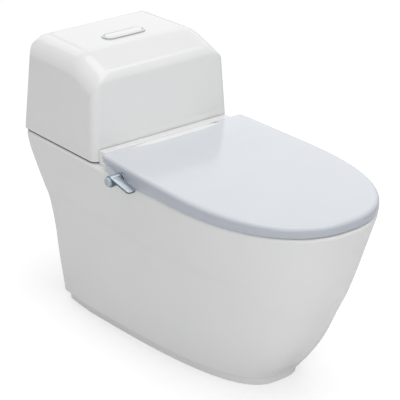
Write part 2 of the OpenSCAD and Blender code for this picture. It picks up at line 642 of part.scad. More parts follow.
module seat_lid() color("aliceblue") difference() {
    one_shell() union() {
        difference() {
            lid_form(0, rim_z + lid_gap, smooth_steps);
            lid_form(lid_t, rim_z - 2, [10, 3, 3]);
            translate([-lid_w - 1, notch_y, rim_z - 5]) cube([lid_width + 2, 200, notch_h + 5]);
            translate([-lid_w - 1, base_rear + 2, rim_z - 5]) cube([lid_width + 2, 200, hinge_h + 13]);
        }
        both_sides() intersection() {
            along_x(ear_1, ear_2) hull() {
                translate([-hinge_y, hinge_z]) circle(r = knuckle_r, $fn = 32);
                translate([-34, rim_z + 28]) square([26, 12]);
            }
            lid_form(lid_t / 2, rim_z - 2, [10, 3, 3]);
        }
    }
    hinge_bore(pin_r + fit);
}
ear_step = 0.5;
ring_ear_w = 18.5;
ear_0 = mid_end + ear_step;
ear_1 = ear_0 + ring_ear_w + ear_step;
ear_2 = end_start - ear_step;
lid_pads = [[0, -470, 4.75], [150, -250, 4.9], [140, -120, 5.25]];
module lid_bumpers() color("dimgray") for (p = lid_pads, s = p.x == 0 ? [1] : [-1, 1])
    translate([s * p.x, p.y, ring_top(p.y) + gap]) cylinder(r = 5, h = p.z - gap, $fn = fine);

// Seat ring

ring_front = -lid_front + lid_t + 3;
ring_rear = -80;
ring_z = rim_z + 4.5;
function ring_top(y) = lid_top(y) - lid_t - 3.4;
ring_mid = -226;
function ring_plan(inset) = outline(ring_w - inset, ring_w - 2.5 - inset,
    ring_front + inset, ring_rear - inset, -220, 2.3, 14 - inset * 0.5, smooth_steps);
function ring_level(inset, z, top) = [for (p = ring_plan(inset)) [p.x, p.y, top ? ring_top(p.y) - z : z]];
function hole_plan(grow) = outline(ring_hole_w + grow, ring_hole_w * 0.8 + grow,
    ring_mid - ring_hole_l * 0.72 - grow, ring_mid + ring_hole_l * 0.28 + grow, ring_mid,
    2.1, 62 + grow, [12, 2, 6]);
function hole_level(grow, z, top) = [for (p = hole_plan(grow)) [p.x, p.y, top ? ring_top(p.y) - z : z]];
module seat_ring() color("ghostwhite") difference() {
    one_shell() difference() {
        union() {
            loft([ring_level(3, ring_z, false), ring_level(0.5, ring_z + 2, false),
                ring_level(0, ring_z + 4, false),
                ring_level(1, 3, true), ring_level(3, 1, true), ring_level(7, 0, true)]);
            both_sides() along_x(ear_0, ear_1 - ear_step) hull() {
                translate([-hinge_y, hinge_z]) circle(r = knuckle_r, $fn = 32);
                translate([ring_rear - 4, rim_z + 11]) square([4, 12]);
            }
        }
        loft([hole_level(4, ring_z - 1, false), hole_level(0, ring_z + 3, false), hole_level(1, 5, true),
            hole_level(4, 2, true), hole_level(9, 0.3, true), hole_level(11, -4, true)]);
        translate([-45, -200, rim_z]) cube([90, 150, 10.5]);
    }
    hinge_bore(pin_r + fit);
}
ring_pads = [[60, -468], [146, -300], [146, -150]];
module ring_bumpers() color("dimgray") both_sides() for (p = ring_pads)
    translate([p.x, p.y, rim_z + gap]) cylinder(r = 7, h = ring_z - rim_z - gap, $fn = fine);

// Wash lever, control valve and inlet

hub_in = cover_x + 6;
hub_out = hub_in + hub_l;
module lever_handle() color("lightsteelblue") difference() {
    union() {
        bar_x(lever_r, -hub_out, -hub_in, -lever_y, lever_z);
        bar_x(shaft_r, -hub_in - 1, -end_start - 4, -lever_y, lever_z);
        along_x(-hub_out, -hub_in - paddle_step) hull() {
            translate([-lever_y - lever_r + 3, lever_z]) circle(r = 4, $fn = 32);
            translate([-lever_y - lever_reach, lever_z - 10]) circle(r = 2, $fn = 32);
        }
    }
    bar_x(lever_r - 2.5, -hub_out - 1, -hub_out + 6, -lever_y, lever_z);
}
module lever_cap() color("cadetblue") difference() {
    bar_x(lever_r - 2.5 - fit, -hub_out - 6, -hub_out + 6, -lever_y, lever_z);
    bar_x(5, -hub_out - 7, -hub_out - 4.5, -lever_y, lever_z);
}
module control_valve() color("white") difference() {
    translate([-base_end + base_t + gap, -lever_y - 9, rim_z + 1])
        cube([base_end - end_start - 2 * (base_t + gap), 30, 17]);
    bar_x(shaft_r + fit, -base_end, -end_start - 3, -lever_y, lever_z);
}
inlet_end = cover_x + 20.5;
module bidet_inlet() color("silver") difference() {
    union() {
        bar_x(inlet_r, end_start + 4, inlet_end, inlet_y, inlet_z);
        bar_x(inlet_r + 1.5, cover_x + gap, hub_in, inlet_y, inlet_z);
    }
    bar_x(inlet_r - 3.3, end_start, inlet_end + 5, inlet_y, inlet_z);
}

// Nozzles

nozzle_tip = [-146, rim_z - 27];
housing_half = nozzle_pitch / 2 + 25;
function along_nozzle(s) = [nozzle_tip.x - s * cos(nozzle_tilt), nozzle_tip.y - s * sin(nozzle_tilt)];
function across_nozzle(s) = [nozzle_tip.x - s * sin(nozzle_tilt), nozzle_tip.y + s * cos(nozzle_tilt)];
module nozzle_bar(r, s0, s1, x) translate([x, along_nozzle(s0).x, along_nozzle(s0).y])
    rotate([90 + nozzle_tilt, 0, 0]) cylinder(r = r, h = s1 - s0, $fn = fine);
module nozzle_housing() color("ghostwhite") difference() {
    along_x(-housing_half, housing_half) polygon([
        [base_front - gap, tray_top + 1.5], [nozzle_tip.x - 4, tray_top + 1.5],
        [nozzle_tip.x - 8, tray_top - 3], across_nozzle(12), across_nozzle(-12),
        across_nozzle(-12) + [14, 0], [-bowl_rear - 2, rim_z - 16], [-bowl_rear - 2, rim_z + 1],
        [base_front - gap, rim_z + 1]]);
    for (x = [-0.5, 0.5]) nozzle_bar(nozzle_r + fit, -nozzle_l - 1, 20, x * nozzle_pitch);
}
module nozzle(x) difference() {
    nozzle_bar(nozzle_r, -nozzle_l, 0, x);
    translate([x, along_nozzle(-6).x, along_nozzle(-6).y]) rotate([nozzle_tilt, 0, 0])
        translate([0, 0, 2]) cylinder(r = 1, h = 10, $fn = fine);
}
module nozzle_rear() color("silver") nozzle(-nozzle_pitch / 2);
module nozzle_front() color("silver") nozzle(nozzle_pitch / 2);

ceramic_body();
outlet_sleeve();
drain_seal();
hood_gasket();
tank_hood();
button_bezel();
flush_button();
cistern_tank();
tank_seal();
flush_tower();
flush_valve();
valve_seal();
flush_rocker();
rocker_pin();
fill_valve_stem();
fill_valve_nut();
fill_valve_cap();
float_cup();
seat_plate();
seat_bolts();
seat_nuts();
seat_base();
base_end_covers();
hinge_pins();
seat_lid();
lid_bumpers();
seat_ring();
ring_bumpers();
lever_handle();
lever_cap();
control_valve();
bidet_inlet();
nozzle_housing();
nozzle_rear();
nozzle_front();
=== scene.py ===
# A skirted floor-standing toilet with a lift-off hood and a water-worked bidet seat, dressed round its
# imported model. Sizes are in millimetres in the part's own frame: +Z is up, the bowl points to -Y, the
# hood stands at +Y and the wash lever is on the -X side.
import math

import bmesh
import bpy
import numpy as np
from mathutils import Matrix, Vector


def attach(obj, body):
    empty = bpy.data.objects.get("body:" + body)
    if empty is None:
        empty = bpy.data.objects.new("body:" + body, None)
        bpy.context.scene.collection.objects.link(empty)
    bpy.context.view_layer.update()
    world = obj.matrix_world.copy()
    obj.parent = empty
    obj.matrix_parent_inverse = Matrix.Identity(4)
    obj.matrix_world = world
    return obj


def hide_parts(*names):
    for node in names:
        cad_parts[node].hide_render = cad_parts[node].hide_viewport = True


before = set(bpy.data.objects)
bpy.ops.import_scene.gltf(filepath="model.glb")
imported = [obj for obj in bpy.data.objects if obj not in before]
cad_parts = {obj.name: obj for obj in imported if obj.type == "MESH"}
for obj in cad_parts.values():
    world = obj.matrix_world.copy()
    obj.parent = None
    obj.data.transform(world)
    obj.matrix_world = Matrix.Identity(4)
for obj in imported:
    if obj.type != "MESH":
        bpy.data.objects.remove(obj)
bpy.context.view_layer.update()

# Ceramic body
# One casting of vitreous china: deck and rim over a hollow skirt, with the bowl, the trapway, the flush
# passage and the outlet's socket cast in one. Glazed wherever it shows, bare fired clay inside the skirt.

MM = 0.001
RIM_Z = 376
RIM_W, RIM_FRONT = 179.7, 508
DECK_REAR, DECK_REAR_W = 290, 165.2
FOOT_W, FOOT_FRONT, FOOT_REAR, FOOT_REAR_W = 125.5, 337, 238.8, 117.7
PLINTH_H, PLINTH_INSET = 20, 12
SKIRT_Z = PLINTH_H + 3
WALL, DECK_T, RIM_EDGE_R = 12, 18, 8
UNDER_Z = RIM_Z - DECK_T
WIDEST_Y, FOOT_WIDEST_Y = -220, 134
SIDE_KNOTS = [(1, 0), (0.907, 0.085), (0.782, 0.28), (0.657, 0.49), (0.609, 0.58), (0.547, 0.65),
              (0.419, 0.755), (0.235, 0.85), (0.096, 0.94), (0, 1)]
FRONT_KNOTS = [(1, 0), (0.907, 0.066), (0.782, 0.143), (0.657, 0.22), (0.547, 0.302), (0.419, 0.435),
               (0.235, 0.63), (0.096, 0.83), (0, 1)]


def mix(a, b, share):
    return a + (b - a) * share


def knot_curve(knots, x):
    """The value at x of a smooth curve through knots whose x falls."""
    last = len(knots) - 1
    i = next((k for k in range(last) if x >= knots[k + 1][0]), last - 1)

    def slope(k):
        a, b = knots[max(k - 1, 0)], knots[min(k + 1, last)]
        return (b[1] - a[1]) / (b[0] - a[0])

    h = knots[i + 1][0] - knots[i][0]
    t = min(max((x - knots[i][0]) / h, 0), 1)
    return ((1 + 2 * t) * (1 - t) ** 2 * knots[i][1] + t * (1 - t) ** 2 * h * slope(i)
            + t * t * (3 - 2 * t) * knots[i + 1][1] - t * t * (1 - t) * h * slope(i + 1))


def with_mirror(half):
    """Half an outline, from its front point on the middle line, and its mirror image."""
    return np.vstack([half, half[:0:-1] * [-1, 1]])


def front_curve(w, yf, yc, n, count):
    """Half the rounded front of a plan, from yf on the middle line to its widest place at yc."""
    t = np.radians(np.linspace(0, 90, count + 1))
    return np.c_[w * np.sin(t) ** (2 / n), yc - (yc - yf) * np.maximum(np.cos(t), 0) ** (2 / n)]


def outline(w, wr, yf, yr, yc, n, rc, steps):
    """A plan with a rounded front to yf, widest at yc.

    Its sides draw in to half width wr, and its rear at yr has corners of radius rc.
    """
    u = np.arange(1, steps[1] + 1) / steps[1]
    a = np.radians(90 * np.arange(1, steps[2] + 1) / steps[2])
    side = np.c_[mix(w, wr, u ** 1.3), mix(yc, yr - rc, u)]
    corner = np.c_[wr - rc + rc * np.cos(a), yr - rc + rc * np.sin(a)]
    return with_mirror(np.vstack([front_curve(w, yf, yc, n, steps[0]), side, corner]))


def opening(w, yf, yr, yc, n, m, steps):
    """A plan that is widest at yc and rounded to yf in front (exponent n) and to yr behind (exponent m)."""
    u = np.radians(np.linspace(0, 84, steps[1] + steps[2] + 1)[1:])
    rear = np.c_[w * np.cos(u) ** (2 / m), yc + (yr - yc) * np.sin(u) ** (2 / m)]
    return with_mirror(np.vstack([front_curve(w, yf, yc, n, steps[0]), rear]))


def arc(u, v, r, start, end, count):
    """Points on an arc about (u, v) in a plane, from one angle to another in degrees."""
    a = np.radians(np.linspace(start, end, count))
    return np.c_[u + r * np.cos(a), v + r * np.sin(a)]


def at_height(plan, z):
    return np.c_[plan, np.full(len(plan), z)]


def linked(name, data):
    """A new object of the scene."""
    thing = bpy.data.objects.new(name, data)
    bpy.context.scene.collection.objects.link(thing)
    return thing


def made(name, points, faces, material):
    """A piece with its own plain mesh, from points in millimetres."""
    mesh = bpy.data.meshes.new(name)
    mesh.from_pydata([tuple(p) for p in np.asarray(points) * MM], [], faces)
    mesh.materials.append(material)
    return linked(name, mesh)


def solid(name, rings, material, front=0, rear=0):
    """A closed mesh through rings, from the lowest up, that are mirror images about the middle line.

    The last ring is closed by strips from side to side. front and rear are the number of steps of its
    straight front and rear edges on each side of the middle.
    """
    n = len(rings[0])
    faces = [(k * n + i, k * n + (i + 1) % n, (k + 1) * n + (i + 1) % n, (k + 1) * n + i)
             for k in range(len(rings) - 1) for i in range(n)]
    last = (n - 1) // 2 - 1 - rear
    cap = [tuple(range(front + 2)) + tuple(range(n - front - 1, n))]
    cap += [(i, i + 1, n - i - 1, n - i) for i in range(front + 1, last)]
    cap += [tuple(range(last, n - last + 1))]
    top = (len(rings) - 1) * n
    faces += [tuple(range(n))[::-1]] + [tuple(top + v for v in f) for f in cap]
    return made(name, np.vstack(rings), faces, material)


def plain_mesh(source):
    """What an object's modifiers give, as a mesh of its own."""
    bpy.context.view_layer.update()
    depsgraph = bpy.context.evaluated_depsgraph_get()
    return bpy.data.meshes.new_from_object(source.evaluated_get(depsgraph), depsgraph=depsgraph)


def settle(piece):
    """Makes what the modifiers give the piece's own plain mesh."""
    mesh = plain_mesh(piece)
    piece.modifiers.clear()
    piece.data = mesh
    return piece


def combine(base, tool, operation):
    """Works on the base with a tool, which is dropped. Faces that come from the tool keep its finish."""
    join = base.modifiers.new("join", "BOOLEAN")
    join.object, join.operation = tool, operation
    join.solver, join.material_mode = "MANIFOLD", "TRANSFER"
    settle(base)
    bpy.data.objects.remove(tool)


def weld(base, tool):
    combine(base, tool, "UNION")


def cut(base, tool):
    combine(base, tool, "DIFFERENCE")


def smooth(piece, angle):
    """Smooth shading that breaks at edges sharper than the angle."""
    piece.data.shade_smooth()
    piece.data.set_sharp_from_angle(angle=math.radians(angle))


def dress(piece, body, slot, *nodes):
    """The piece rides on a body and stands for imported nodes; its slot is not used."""
    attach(piece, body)
    if nodes:
        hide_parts(*nodes)
    return piece


def prism(name, first, second, material):
    """A closed mesh between an outline and its copy.

    The copy lies on the side that the outline turns counter-clockwise about.
    """
    n = len(first)
    faces = [(i, (i + 1) % n, n + (i + 1) % n, n + i) for i in range(n)]
    faces += [tuple(range(n))[::-1], tuple(range(n, 2 * n))]
    return made(name, np.vstack([first, second]), faces, material)


def block(name, low, high, material):
    """A box from its lowest to its highest corner."""
    plan = np.array([[low[0], low[1]], [high[0], low[1]], [high[0], high[1]], [low[0], high[1]]])
    return prism(name, at_height(plan, low[2]), at_height(plan, high[2]), material)


def turned(name, profile, centre, axis, material, segments=64):
    """A turned piece: a closed profile of (radius, distance along the axis) spun round the axis."""
    axis = np.array(axis, float) / np.linalg.norm(axis)
    side = np.cross(axis, [0, 0, 1]) if abs(axis[2]) < 0.9 else np.array([1.0, 0, 0])
    side /= np.linalg.norm(side)
    third = np.cross(axis, side)
    points, rows = [], []
    for r, s in profile:
        if r < 1e-6:
            rows.append([len(points)])
            points.append(np.array(centre) + axis * s)
            continue
        rows.append(list(range(len(points), len(points) + segments)))
        for a in np.linspace(0, 2 * math.pi, segments, endpoint=False):
            points.append(np.array(centre) + axis * s + r * (math.cos(a) * side + math.sin(a) * third))
    faces = []
    pairs = list(zip(rows, rows[1:]))
    if len(rows[0]) > 1 or len(rows[-1]) > 1:
        pairs.append((rows[-1], rows[0]))
    for a, b in pairs:
        for i in range(segments):
            j = (i + 1) % segments
            quad = [a[i % len(a)], a[j % len(a)], b[j % len(b)], b[i % len(b)]]
            face = tuple(dict.fromkeys(quad))
            if len(face) > 2:
                faces.append(face)
    return made(name, points, faces, material)


def rounded(r, length, edge, bore=0, steps=5):
    """The profile of a turned bar or tube of that length whose outer edges have a small radius."""
    a = np.radians(np.linspace(0, 90, steps + 1))
    low = [(r - edge + edge * math.sin(t), edge - edge * math.cos(t)) for t in a]
    high = [(x, length - s) for x, s in reversed(low)]
    return [(bore, 0)] + low + high + [(bore, length)]


def drill(name, r, length, start, axis, material):
    """A plain round tool of that radius and length, from its start along the axis."""
    return turned(name, [(0, 0), (r, 0), (r, length), (0, length)], start, axis, material)


def linear(colour, alpha=1.0):
    """A hex colour as linear values."""
    values = [int(colour[i:i + 2], 16) / 255 for i in (1, 3, 5)]
    return [v / 12.92 if v <= 0.04045 else ((v + 0.055) / 1.055) ** 2.4 for v in values] + [alpha]


def add(tree, kind, sockets=(), **settings):
    """Adds a node with its settings, and gives its sockets values or links to other nodes' outputs."""
    node = tree.nodes.new(kind)
    for name, value in settings.items():
        setattr(node, name, value)
    for name, value in dict(sockets).items():
        if isinstance(value, bpy.types.NodeSocket):
            tree.links.new(value, node.inputs[name])
        else:
            node.inputs[name].default_value = value
    return node


def finish_tree(name):
    """An empty material and its tree, with the object's own coordinates in metres."""
    material = bpy.data.materials.new(name)
    material.use_nodes = True
    material.node_tree.nodes.clear()
    place = add(material.node_tree, "ShaderNodeTexCoord").outputs["Object"]
    return material, material.node_tree, place


def glaze(name, pale, deep):
    """Glaze fired on clay: two close whites in soft clouds, and the faint ripple of poured glass."""
    material, tree, place = finish_tree(name)
    cloud = add(tree, "ShaderNodeTexNoise", {"Vector": place, "Scale": 9.0, "Detail": 2.0})
    tone = add(tree, "ShaderNodeMix", {0: cloud.outputs["Fac"], 6: linear(pale), 7: linear(deep)},
               data_type="RGBA")
    # A ripple of about 5 mm on a slow wave of about 35 mm
    ripple = add(tree, "ShaderNodeTexNoise", {"Vector": place, "Scale": 200.0, "Detail": 1.0})
    wave = add(tree, "ShaderNodeTexNoise", {"Vector": place, "Scale": 28.0, "Detail": 1.0})
    height = add(tree, "ShaderNodeMath", {0: ripple.outputs["Fac"], 1: 0.12, 2: wave.outputs["Fac"]},
                 operation="MULTIPLY_ADD")
    bump = add(tree, "ShaderNodeBump", {"Height": height.outputs[0], "Strength": 0.05, "Distance": 0.002})
    haze = add(tree, "ShaderNodeMapRange", {"Value": cloud.outputs["Fac"], "To Min": 0.09, "To Max": 0.15})
    shader = add(tree, "ShaderNodeBsdfPrincipled",
                 {"Base Color": tone.outputs[2], "Roughness": haze.outputs[0], "IOR": 1.52,
                  "Normal": bump.outputs[0]})
    add(tree, "ShaderNodeOutputMaterial", {"Surface": shader.outputs[0]})
    return material


def fired_clay():
    """Vitreous clay without glaze: matt, off-white, with a sandy grain of about 1 mm and kiln marks."""
    material, tree, place = finish_tree("fired_clay")
    grain = add(tree, "ShaderNodeTexNoise", {"Vector": place, "Scale": 900.0, "Detail": 3.0})
    stain = add(tree, "ShaderNodeTexNoise", {"Vector": place, "Scale": 14.0, "Detail": 4.0})
    tone = add(tree, "ShaderNodeMix", {0: stain.outputs["Fac"], 6: linear("#E9E4DA"), 7: linear("#CFC7B8")},
               data_type="RGBA")
    bump = add(tree, "ShaderNodeBump",
               {"Height": grain.outputs["Fac"], "Strength": 0.25, "Distance": 0.0006})
    shader = add(tree, "ShaderNodeBsdfPrincipled",
                 {"Base Color": tone.outputs[2], "Roughness": 0.82, "IOR": 1.5, "Normal": bump.outputs[0]})
    add(tree, "ShaderNodeOutputMaterial", {"Surface": shader.outputs[0]})
    return material


china = glaze("vitreous_china_glaze", "#F6F6F5", "#F1F2F2")
clay = fired_clay()


def body_plan(z, inset, steps):
    h = (z - SKIRT_Z) / (RIM_Z - SKIRT_Z)
    s = 1 if z < SKIRT_Z else knot_curve(SIDE_KNOTS, h)
    f = 1 if z < SKIRT_Z else knot_curve(FRONT_KNOTS, h)
    return outline(mix(RIM_W, FOOT_W, s) - inset, mix(DECK_REAR_W, FOOT_REAR_W, s) - inset,
                   mix(-RIM_FRONT, -FOOT_FRONT, f) + inset, mix(DECK_REAR, FOOT_REAR, s) - inset,
                   mix(WIDEST_Y, FOOT_WIDEST_Y, f), mix(2.3, 3, f), 22 - min(inset, 12), steps)


def body_ring(z, inset, steps):
    return at_height(body_plan(z, inset, steps), z)


SKIN_STEPS = (56, 26, 10)
skin_levels = [body_ring(z, inset, SKIN_STEPS) for z, inset in
               [(0, PLINTH_INSET + 0.6), (0.6, PLINTH_INSET), (PLINTH_H - 2, PLINTH_INSET),
                (PLINTH_H - 0.6, PLINTH_INSET - 0.6), (PLINTH_H, PLINTH_INSET - 2), (PLINTH_H + 0.2, 3.2),
                (PLINTH_H + 0.9, 1.2), (PLINTH_H + 2, 0.3)]]
skin_levels += [body_ring(mix(SKIRT_Z, RIM_Z - RIM_EDGE_R, s), 0, SKIN_STEPS)
                for s in np.linspace(0, 1, 49)]
skin_levels += [body_ring(RIM_Z - RIM_EDGE_R * (1 - math.sin(a)), RIM_EDGE_R * (1 - math.cos(a)),
                          SKIN_STEPS) for a in np.radians(np.linspace(0, 90, 9)[1:])]
ceramic = solid("vitreous_china_body", skin_levels, china)
HOLLOW_STEPS = (24, 10, 5)
hollow_levels = [body_ring(z, PLINTH_INSET + WALL, HOLLOW_STEPS) for z in (-2, SKIRT_Z)]
hollow_levels += [body_ring(mix(SKIRT_Z, UNDER_Z, s), WALL, HOLLOW_STEPS) for s in np.linspace(0.1, 1, 16)]
cut(ceramic, solid("hollow", hollow_levels, clay))
REAR_DOOR_W, REAR_DOOR_H = 170, 300
cut(ceramic, block("rear_door", [-REAR_DOOR_W / 2, FOOT_REAR - 70, -2],
                   [REAR_DOOR_W / 2, FOOT_REAR + 130, REAR_DOOR_H - 2], china))

BOWL_W, BOWL_FRONT, BOWL_REAR, BOWL_WALL, BOWL_MID = 134, 462, 100, 10, -230
SUMP_Z = 104
BOWL_KNOTS = np.array([[0, 0.2, 0.17, 0.55], [0.03, 0.3, 0.23, 0.5], [0.1, 0.36, 0.29, 0.46],
                       [0.2, 0.44, 0.4, 0.42], [0.32, 0.52, 0.53, 0.36], [0.45, 0.64, 0.68, 0.3],
                       [0.58, 0.77, 0.82, 0.2], [0.7, 0.89, 0.92, 0.1], [0.8, 0.96, 0.97, 0.04],
                       [0.9, 1, 1, 0], [0.975, 1, 1, 0]])


def bowl_ring(z, w, f, r, grow, steps):
    return at_height(opening(w * BOWL_W + grow, mix(BOWL_MID, -BOWL_FRONT, f) - grow,
                             mix(-BOWL_REAR, BOWL_MID, r * 0.72) + grow, BOWL_MID, 2.2, 2.4, steps), z)


def bowl_levels(grow, steps, count):
    """Bowl sections between the knots, on a smooth curve for each share."""
    shares = np.linspace(0, BOWL_KNOTS[-1][0], count)
    knots = BOWL_KNOTS[::-1]
    rings = []
    for s in shares:
        w, f, r = (knot_curve([(k[0], k[c]) for k in knots], s) for c in (1, 2, 3))
        w, f, r = min(w, 1), min(f, 1), max(r, 0)
        rings.append(bowl_ring(mix(SUMP_Z, RIM_Z, s) - (grow if s < 0.05 else 0), w, f, r, grow, steps))
    return rings


weld(ceramic, solid("bowl_outside", bowl_levels(BOWL_WALL, (24, 8, 6), 24), clay))

TRAP_R, TRAP_WALL, WEIR_Z = 27, 9, 238
OUTLET_R, OUTLET_DEPTH = 40, 30
TRAP_PATH = [(-182, SUMP_Z + 26), (-150, SUMP_Z + 29), (-122, SUMP_Z + 40), (-100, SUMP_Z + 66),
             (-84, WEIR_Z - 38), (-66, WEIR_Z - 10), (-42, WEIR_Z), (-20, WEIR_Z - 10), (-6, WEIR_Z - 34),
             (0, WEIR_Z - 70), (0, WEIR_Z - 120), (0, OUTLET_DEPTH + 14), (0, OUTLET_DEPTH - 4)]


def group_tree(name, output, **inputs):
    """An empty tree with named inputs of the given kinds and one output, and the node that brings them."""
    tree = bpy.data.node_groups.new(name, "GeometryNodeTree")
    for title, kind in inputs.items():
        tree.interface.new_socket(title.replace("_", " "), in_out="INPUT", socket_type="NodeSocket" + kind)
    tree.interface.new_socket(output, in_out="OUTPUT", socket_type="NodeSocketGeometry")
    return tree, add(tree, "NodeGroupInput")


def group_end(tree, given, shape):
    """Ends a tree with its shape as a real mesh in the finish that it is given."""
    real = add(tree, "GeometryNodeRealizeInstances", {"Geometry": shape.outputs[0]})
    painted = add(tree, "GeometryNodeSetMaterial",
                  {"Geometry": real.outputs[0], "Material": given.outputs["Finish"]})
    add(tree, "NodeGroupOutput", {0: painted.outputs[0]})
    return tree


def swept_tree():
    """A tree that sweeps a round section along a smooth curve and closes its ends."""
    tree, given = group_tree("swept_passage", "Passage", Path="Geometry", Radius="Float", Sides="Int",
                             Finish="Material")
    section = add(tree, "GeometryNodeCurvePrimitiveCircle",
                  {"Resolution": given.outputs["Sides"], "Radius": given.outputs["Radius"]})
    swept = add(tree, "GeometryNodeCurveToMesh",
                {"Curve": given.outputs["Path"], "Profile Curve": section.outputs[0], "Fill Caps": True})
    return group_end(tree, given, swept)


swept = swept_tree()


def grown(name, tree, source, **values):
    """The plain mesh that a tree grows from a source object, which is dropped."""
    growth = source.modifiers.new("growth", "NODES")
    growth.node_group = tree
    inputs = {s.name: s.identifier for s in tree.interface.items_tree if s.in_out == "INPUT"}
    for key, value in values.items():
        growth[inputs[key.replace("_", " ")]] = value
    mesh = plain_mesh(source)
    bpy.data.objects.remove(source)
    return linked(name, mesh)


def smooth_path(points, steps):
    """Points on a smooth curve through the given ones."""
    p = np.array([points[0]] + list(points) + [points[-1]], float)
    out = []
    for a, b, c, d in zip(p, p[1:], p[2:], p[3:]):
        for t in np.arange(steps) / steps:
            out.append(0.5 * (2 * b + (c - a) * t + (2 * a - 5 * b + 4 * c - d) * t ** 2
                              + (3 * b - a - 3 * c + d) * t ** 3))
    return out + [p[-1]]


def passage(name, radius, finish):
    """The trapway's passage at that radius, as a closed mesh."""
    line = bpy.data.curves.new(name, "CURVE")
    line.dimensions = "3D"
    spline = line.splines.new("POLY")
    path = smooth_path(TRAP_PATH, 5)
    spline.points.add(len(path) - 1)
    for point, (y, z) in zip(spline.points, path):
        point.co = (0, y * MM, z * MM, 1)
    return grown(name, swept, linked(name + "_route", line), Radius=radius * MM, Sides=40, Finish=finish)


weld(ceramic, passage("trapway_wall", TRAP_R + TRAP_WALL, clay))
weld(ceramic, turned("socket_wall", rounded(OUTLET_R + 8, OUTLET_DEPTH + 8, 2), [0, 0, 0], [0, 0, 1],
                     clay))

VALVE_X, VALVE_Y, FLUSH_Z = 35, 165, 330
DUCT_R, DUCT_W, DUCT_H = 26, 22, 13


def flush_duct(name, grow, finish):
    """The flush passage: from under the flush valve forward to the bowl's rear."""
    r, w, h = DUCT_R + grow, DUCT_W + grow, DUCT_H + grow
    front_y = -BOWL_REAR + 12 - grow
    plan = np.vstack([[[-w, front_y], [w, front_y]], arc(VALVE_X, VALVE_Y, r, -10, 190, 25)])
    return prism(name, at_height(plan, FLUSH_Z - h), at_height(plan, FLUSH_Z + h), finish)


weld(ceramic, flush_duct("flush_duct_wall", 8, clay))
BOWL_STEPS, BOWL_EDGE_R = (64, 20, 16), 5
bowl_top = [bowl_ring(RIM_Z - BOWL_EDGE_R * (1 - math.sin(a)), 1, 1, 0, BOWL_EDGE_R * (1 - math.cos(a)),
                      BOWL_STEPS) for a in np.radians(np.linspace(0, 90, 7))]
bowl_top.append(bowl_ring(RIM_Z + 2, 1, 1, 0, BOWL_EDGE_R, BOWL_STEPS))
cut(ceramic, solid("bowl_inside", bowl_levels(0, BOWL_STEPS, 64)[:-1] + bowl_top, china))
cut(ceramic, passage("trapway", TRAP_R, china))
cut(ceramic, flush_duct("flush_duct", 0, china))
cut(ceramic, block("flush_mouth", [-DUCT_W, -BOWL_REAR - 14, FLUSH_Z - DUCT_H],
                   [DUCT_W, -BOWL_REAR + 22, FLUSH_Z + DUCT_H], china))
FLUSH_HOLE_R, FILL_X, NECK_R = 32, 75, 10.9
SEAT_BOLT_X, SEAT_BOLT_Y, SEAT_HOLE_R = 70, -35, 7.5
for name, x, y, r, z0, z1 in [
        ("socket", 0, 0, OUTLET_R, -1, OUTLET_DEPTH),
        ("flush_hole", VALVE_X, VALVE_Y, FLUSH_HOLE_R, FLUSH_Z, RIM_Z + 10),
        ("fill_hole", -FILL_X, VALVE_Y, NECK_R + 2, UNDER_Z - 1, RIM_Z + 1),
        ("left_seat_hole", -SEAT_BOLT_X, SEAT_BOLT_Y, SEAT_HOLE_R, UNDER_Z - 1, RIM_Z + 1),
        ("right_seat_hole", SEAT_BOLT_X, SEAT_BOLT_Y, SEAT_HOLE_R, UNDER_Z - 1, RIM_Z + 1)]:
    cut(ceramic, drill(name, r, z1 - z0, [x, y, z0], [0, 0, 1], china))
smooth(ceramic, 32)
dress(ceramic, "pan", "glazed_ceramic", "ceramic_body")

# Outlet
# A sleeve of grey pipe lines the socket and takes the floor's waste pipe. A ring of moulded rubber lies
# round the socket and seals it on the floor.


def toned(name, pale, deep, scale, rough, grain, depth, metal=0.0, stretch=(1, 1, 1), side=None, **more):
    """A finish with two close tones in clouds, its grain in the bump, and a roughness that follows both.

    Where a side tone is given, faces that stand upright take it as painted shade and faces that lie flat
    keep the others.
    """
    material, tree, place = finish_tree(name)
    drawn = add(tree, "ShaderNodeMapping", {"Vector": place, "Scale": stretch})
    cloud = add(tree, "ShaderNodeTexNoise", {"Vector": drawn.outputs[0], "Scale": scale, "Detail": 3.0})
    fine = add(tree, "ShaderNodeTexNoise", {"Vector": drawn.outputs[0], "Scale": grain, "Detail": 2.0})
    tone = add(tree, "ShaderNodeMix", {0: cloud.outputs["Fac"], 6: linear(pale), 7: linear(deep)},
               data_type="RGBA")
    # The side tone is painted shade: upright faces are made darker than flat ones by their facing alone
    if side:
        facing = add(tree, "ShaderNodeTexCoord").outputs["Normal"]
        rise = add(tree, "ShaderNodeSeparateXYZ", {0: facing}).outputs["Z"]
        lying = add(tree, "ShaderNodeMath", {0: rise}, operation="ABSOLUTE")
        share = add(tree, "ShaderNodeMapRange",
                    {"Value": lying.outputs[0], "From Min": 0.3, "From Max": 0.95})
        tone = add(tree, "ShaderNodeMix", {0: share.outputs[0], 6: linear(side), 7: tone.outputs[2]},
                   data_type="RGBA")
    haze = add(tree, "ShaderNodeMapRange",
               {"Value": fine.outputs["Fac"], "To Min": rough * 0.8, "To Max": rough * 1.2})
    bump = add(tree, "ShaderNodeBump",
               {"Height": fine.outputs["Fac"], "Strength": 0.3, "Distance": depth * MM})
    shader = add(tree, "ShaderNodeBsdfPrincipled",
                 {"Base Color": tone.outputs[2], "Roughness": haze.outputs[0], "Metallic": metal,
                  "Normal": bump.outputs[0], **more})
    add(tree, "ShaderNodeOutputMaterial", {"Surface": shader.outputs[0]})
    return material


def paint(material, *nodes):
    """Gives carried-over nodes a finish."""
    for node in nodes:
        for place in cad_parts[node].material_slots:
            place.material = material


# Extruded pipe PVC, faintly streaked along its length
paint(toned("extruded_pvc", "#8D9195", "#83878C", 30, 0.45, 400, 0.1, stretch=(1, 1, 0.2)), "outlet_sleeve")
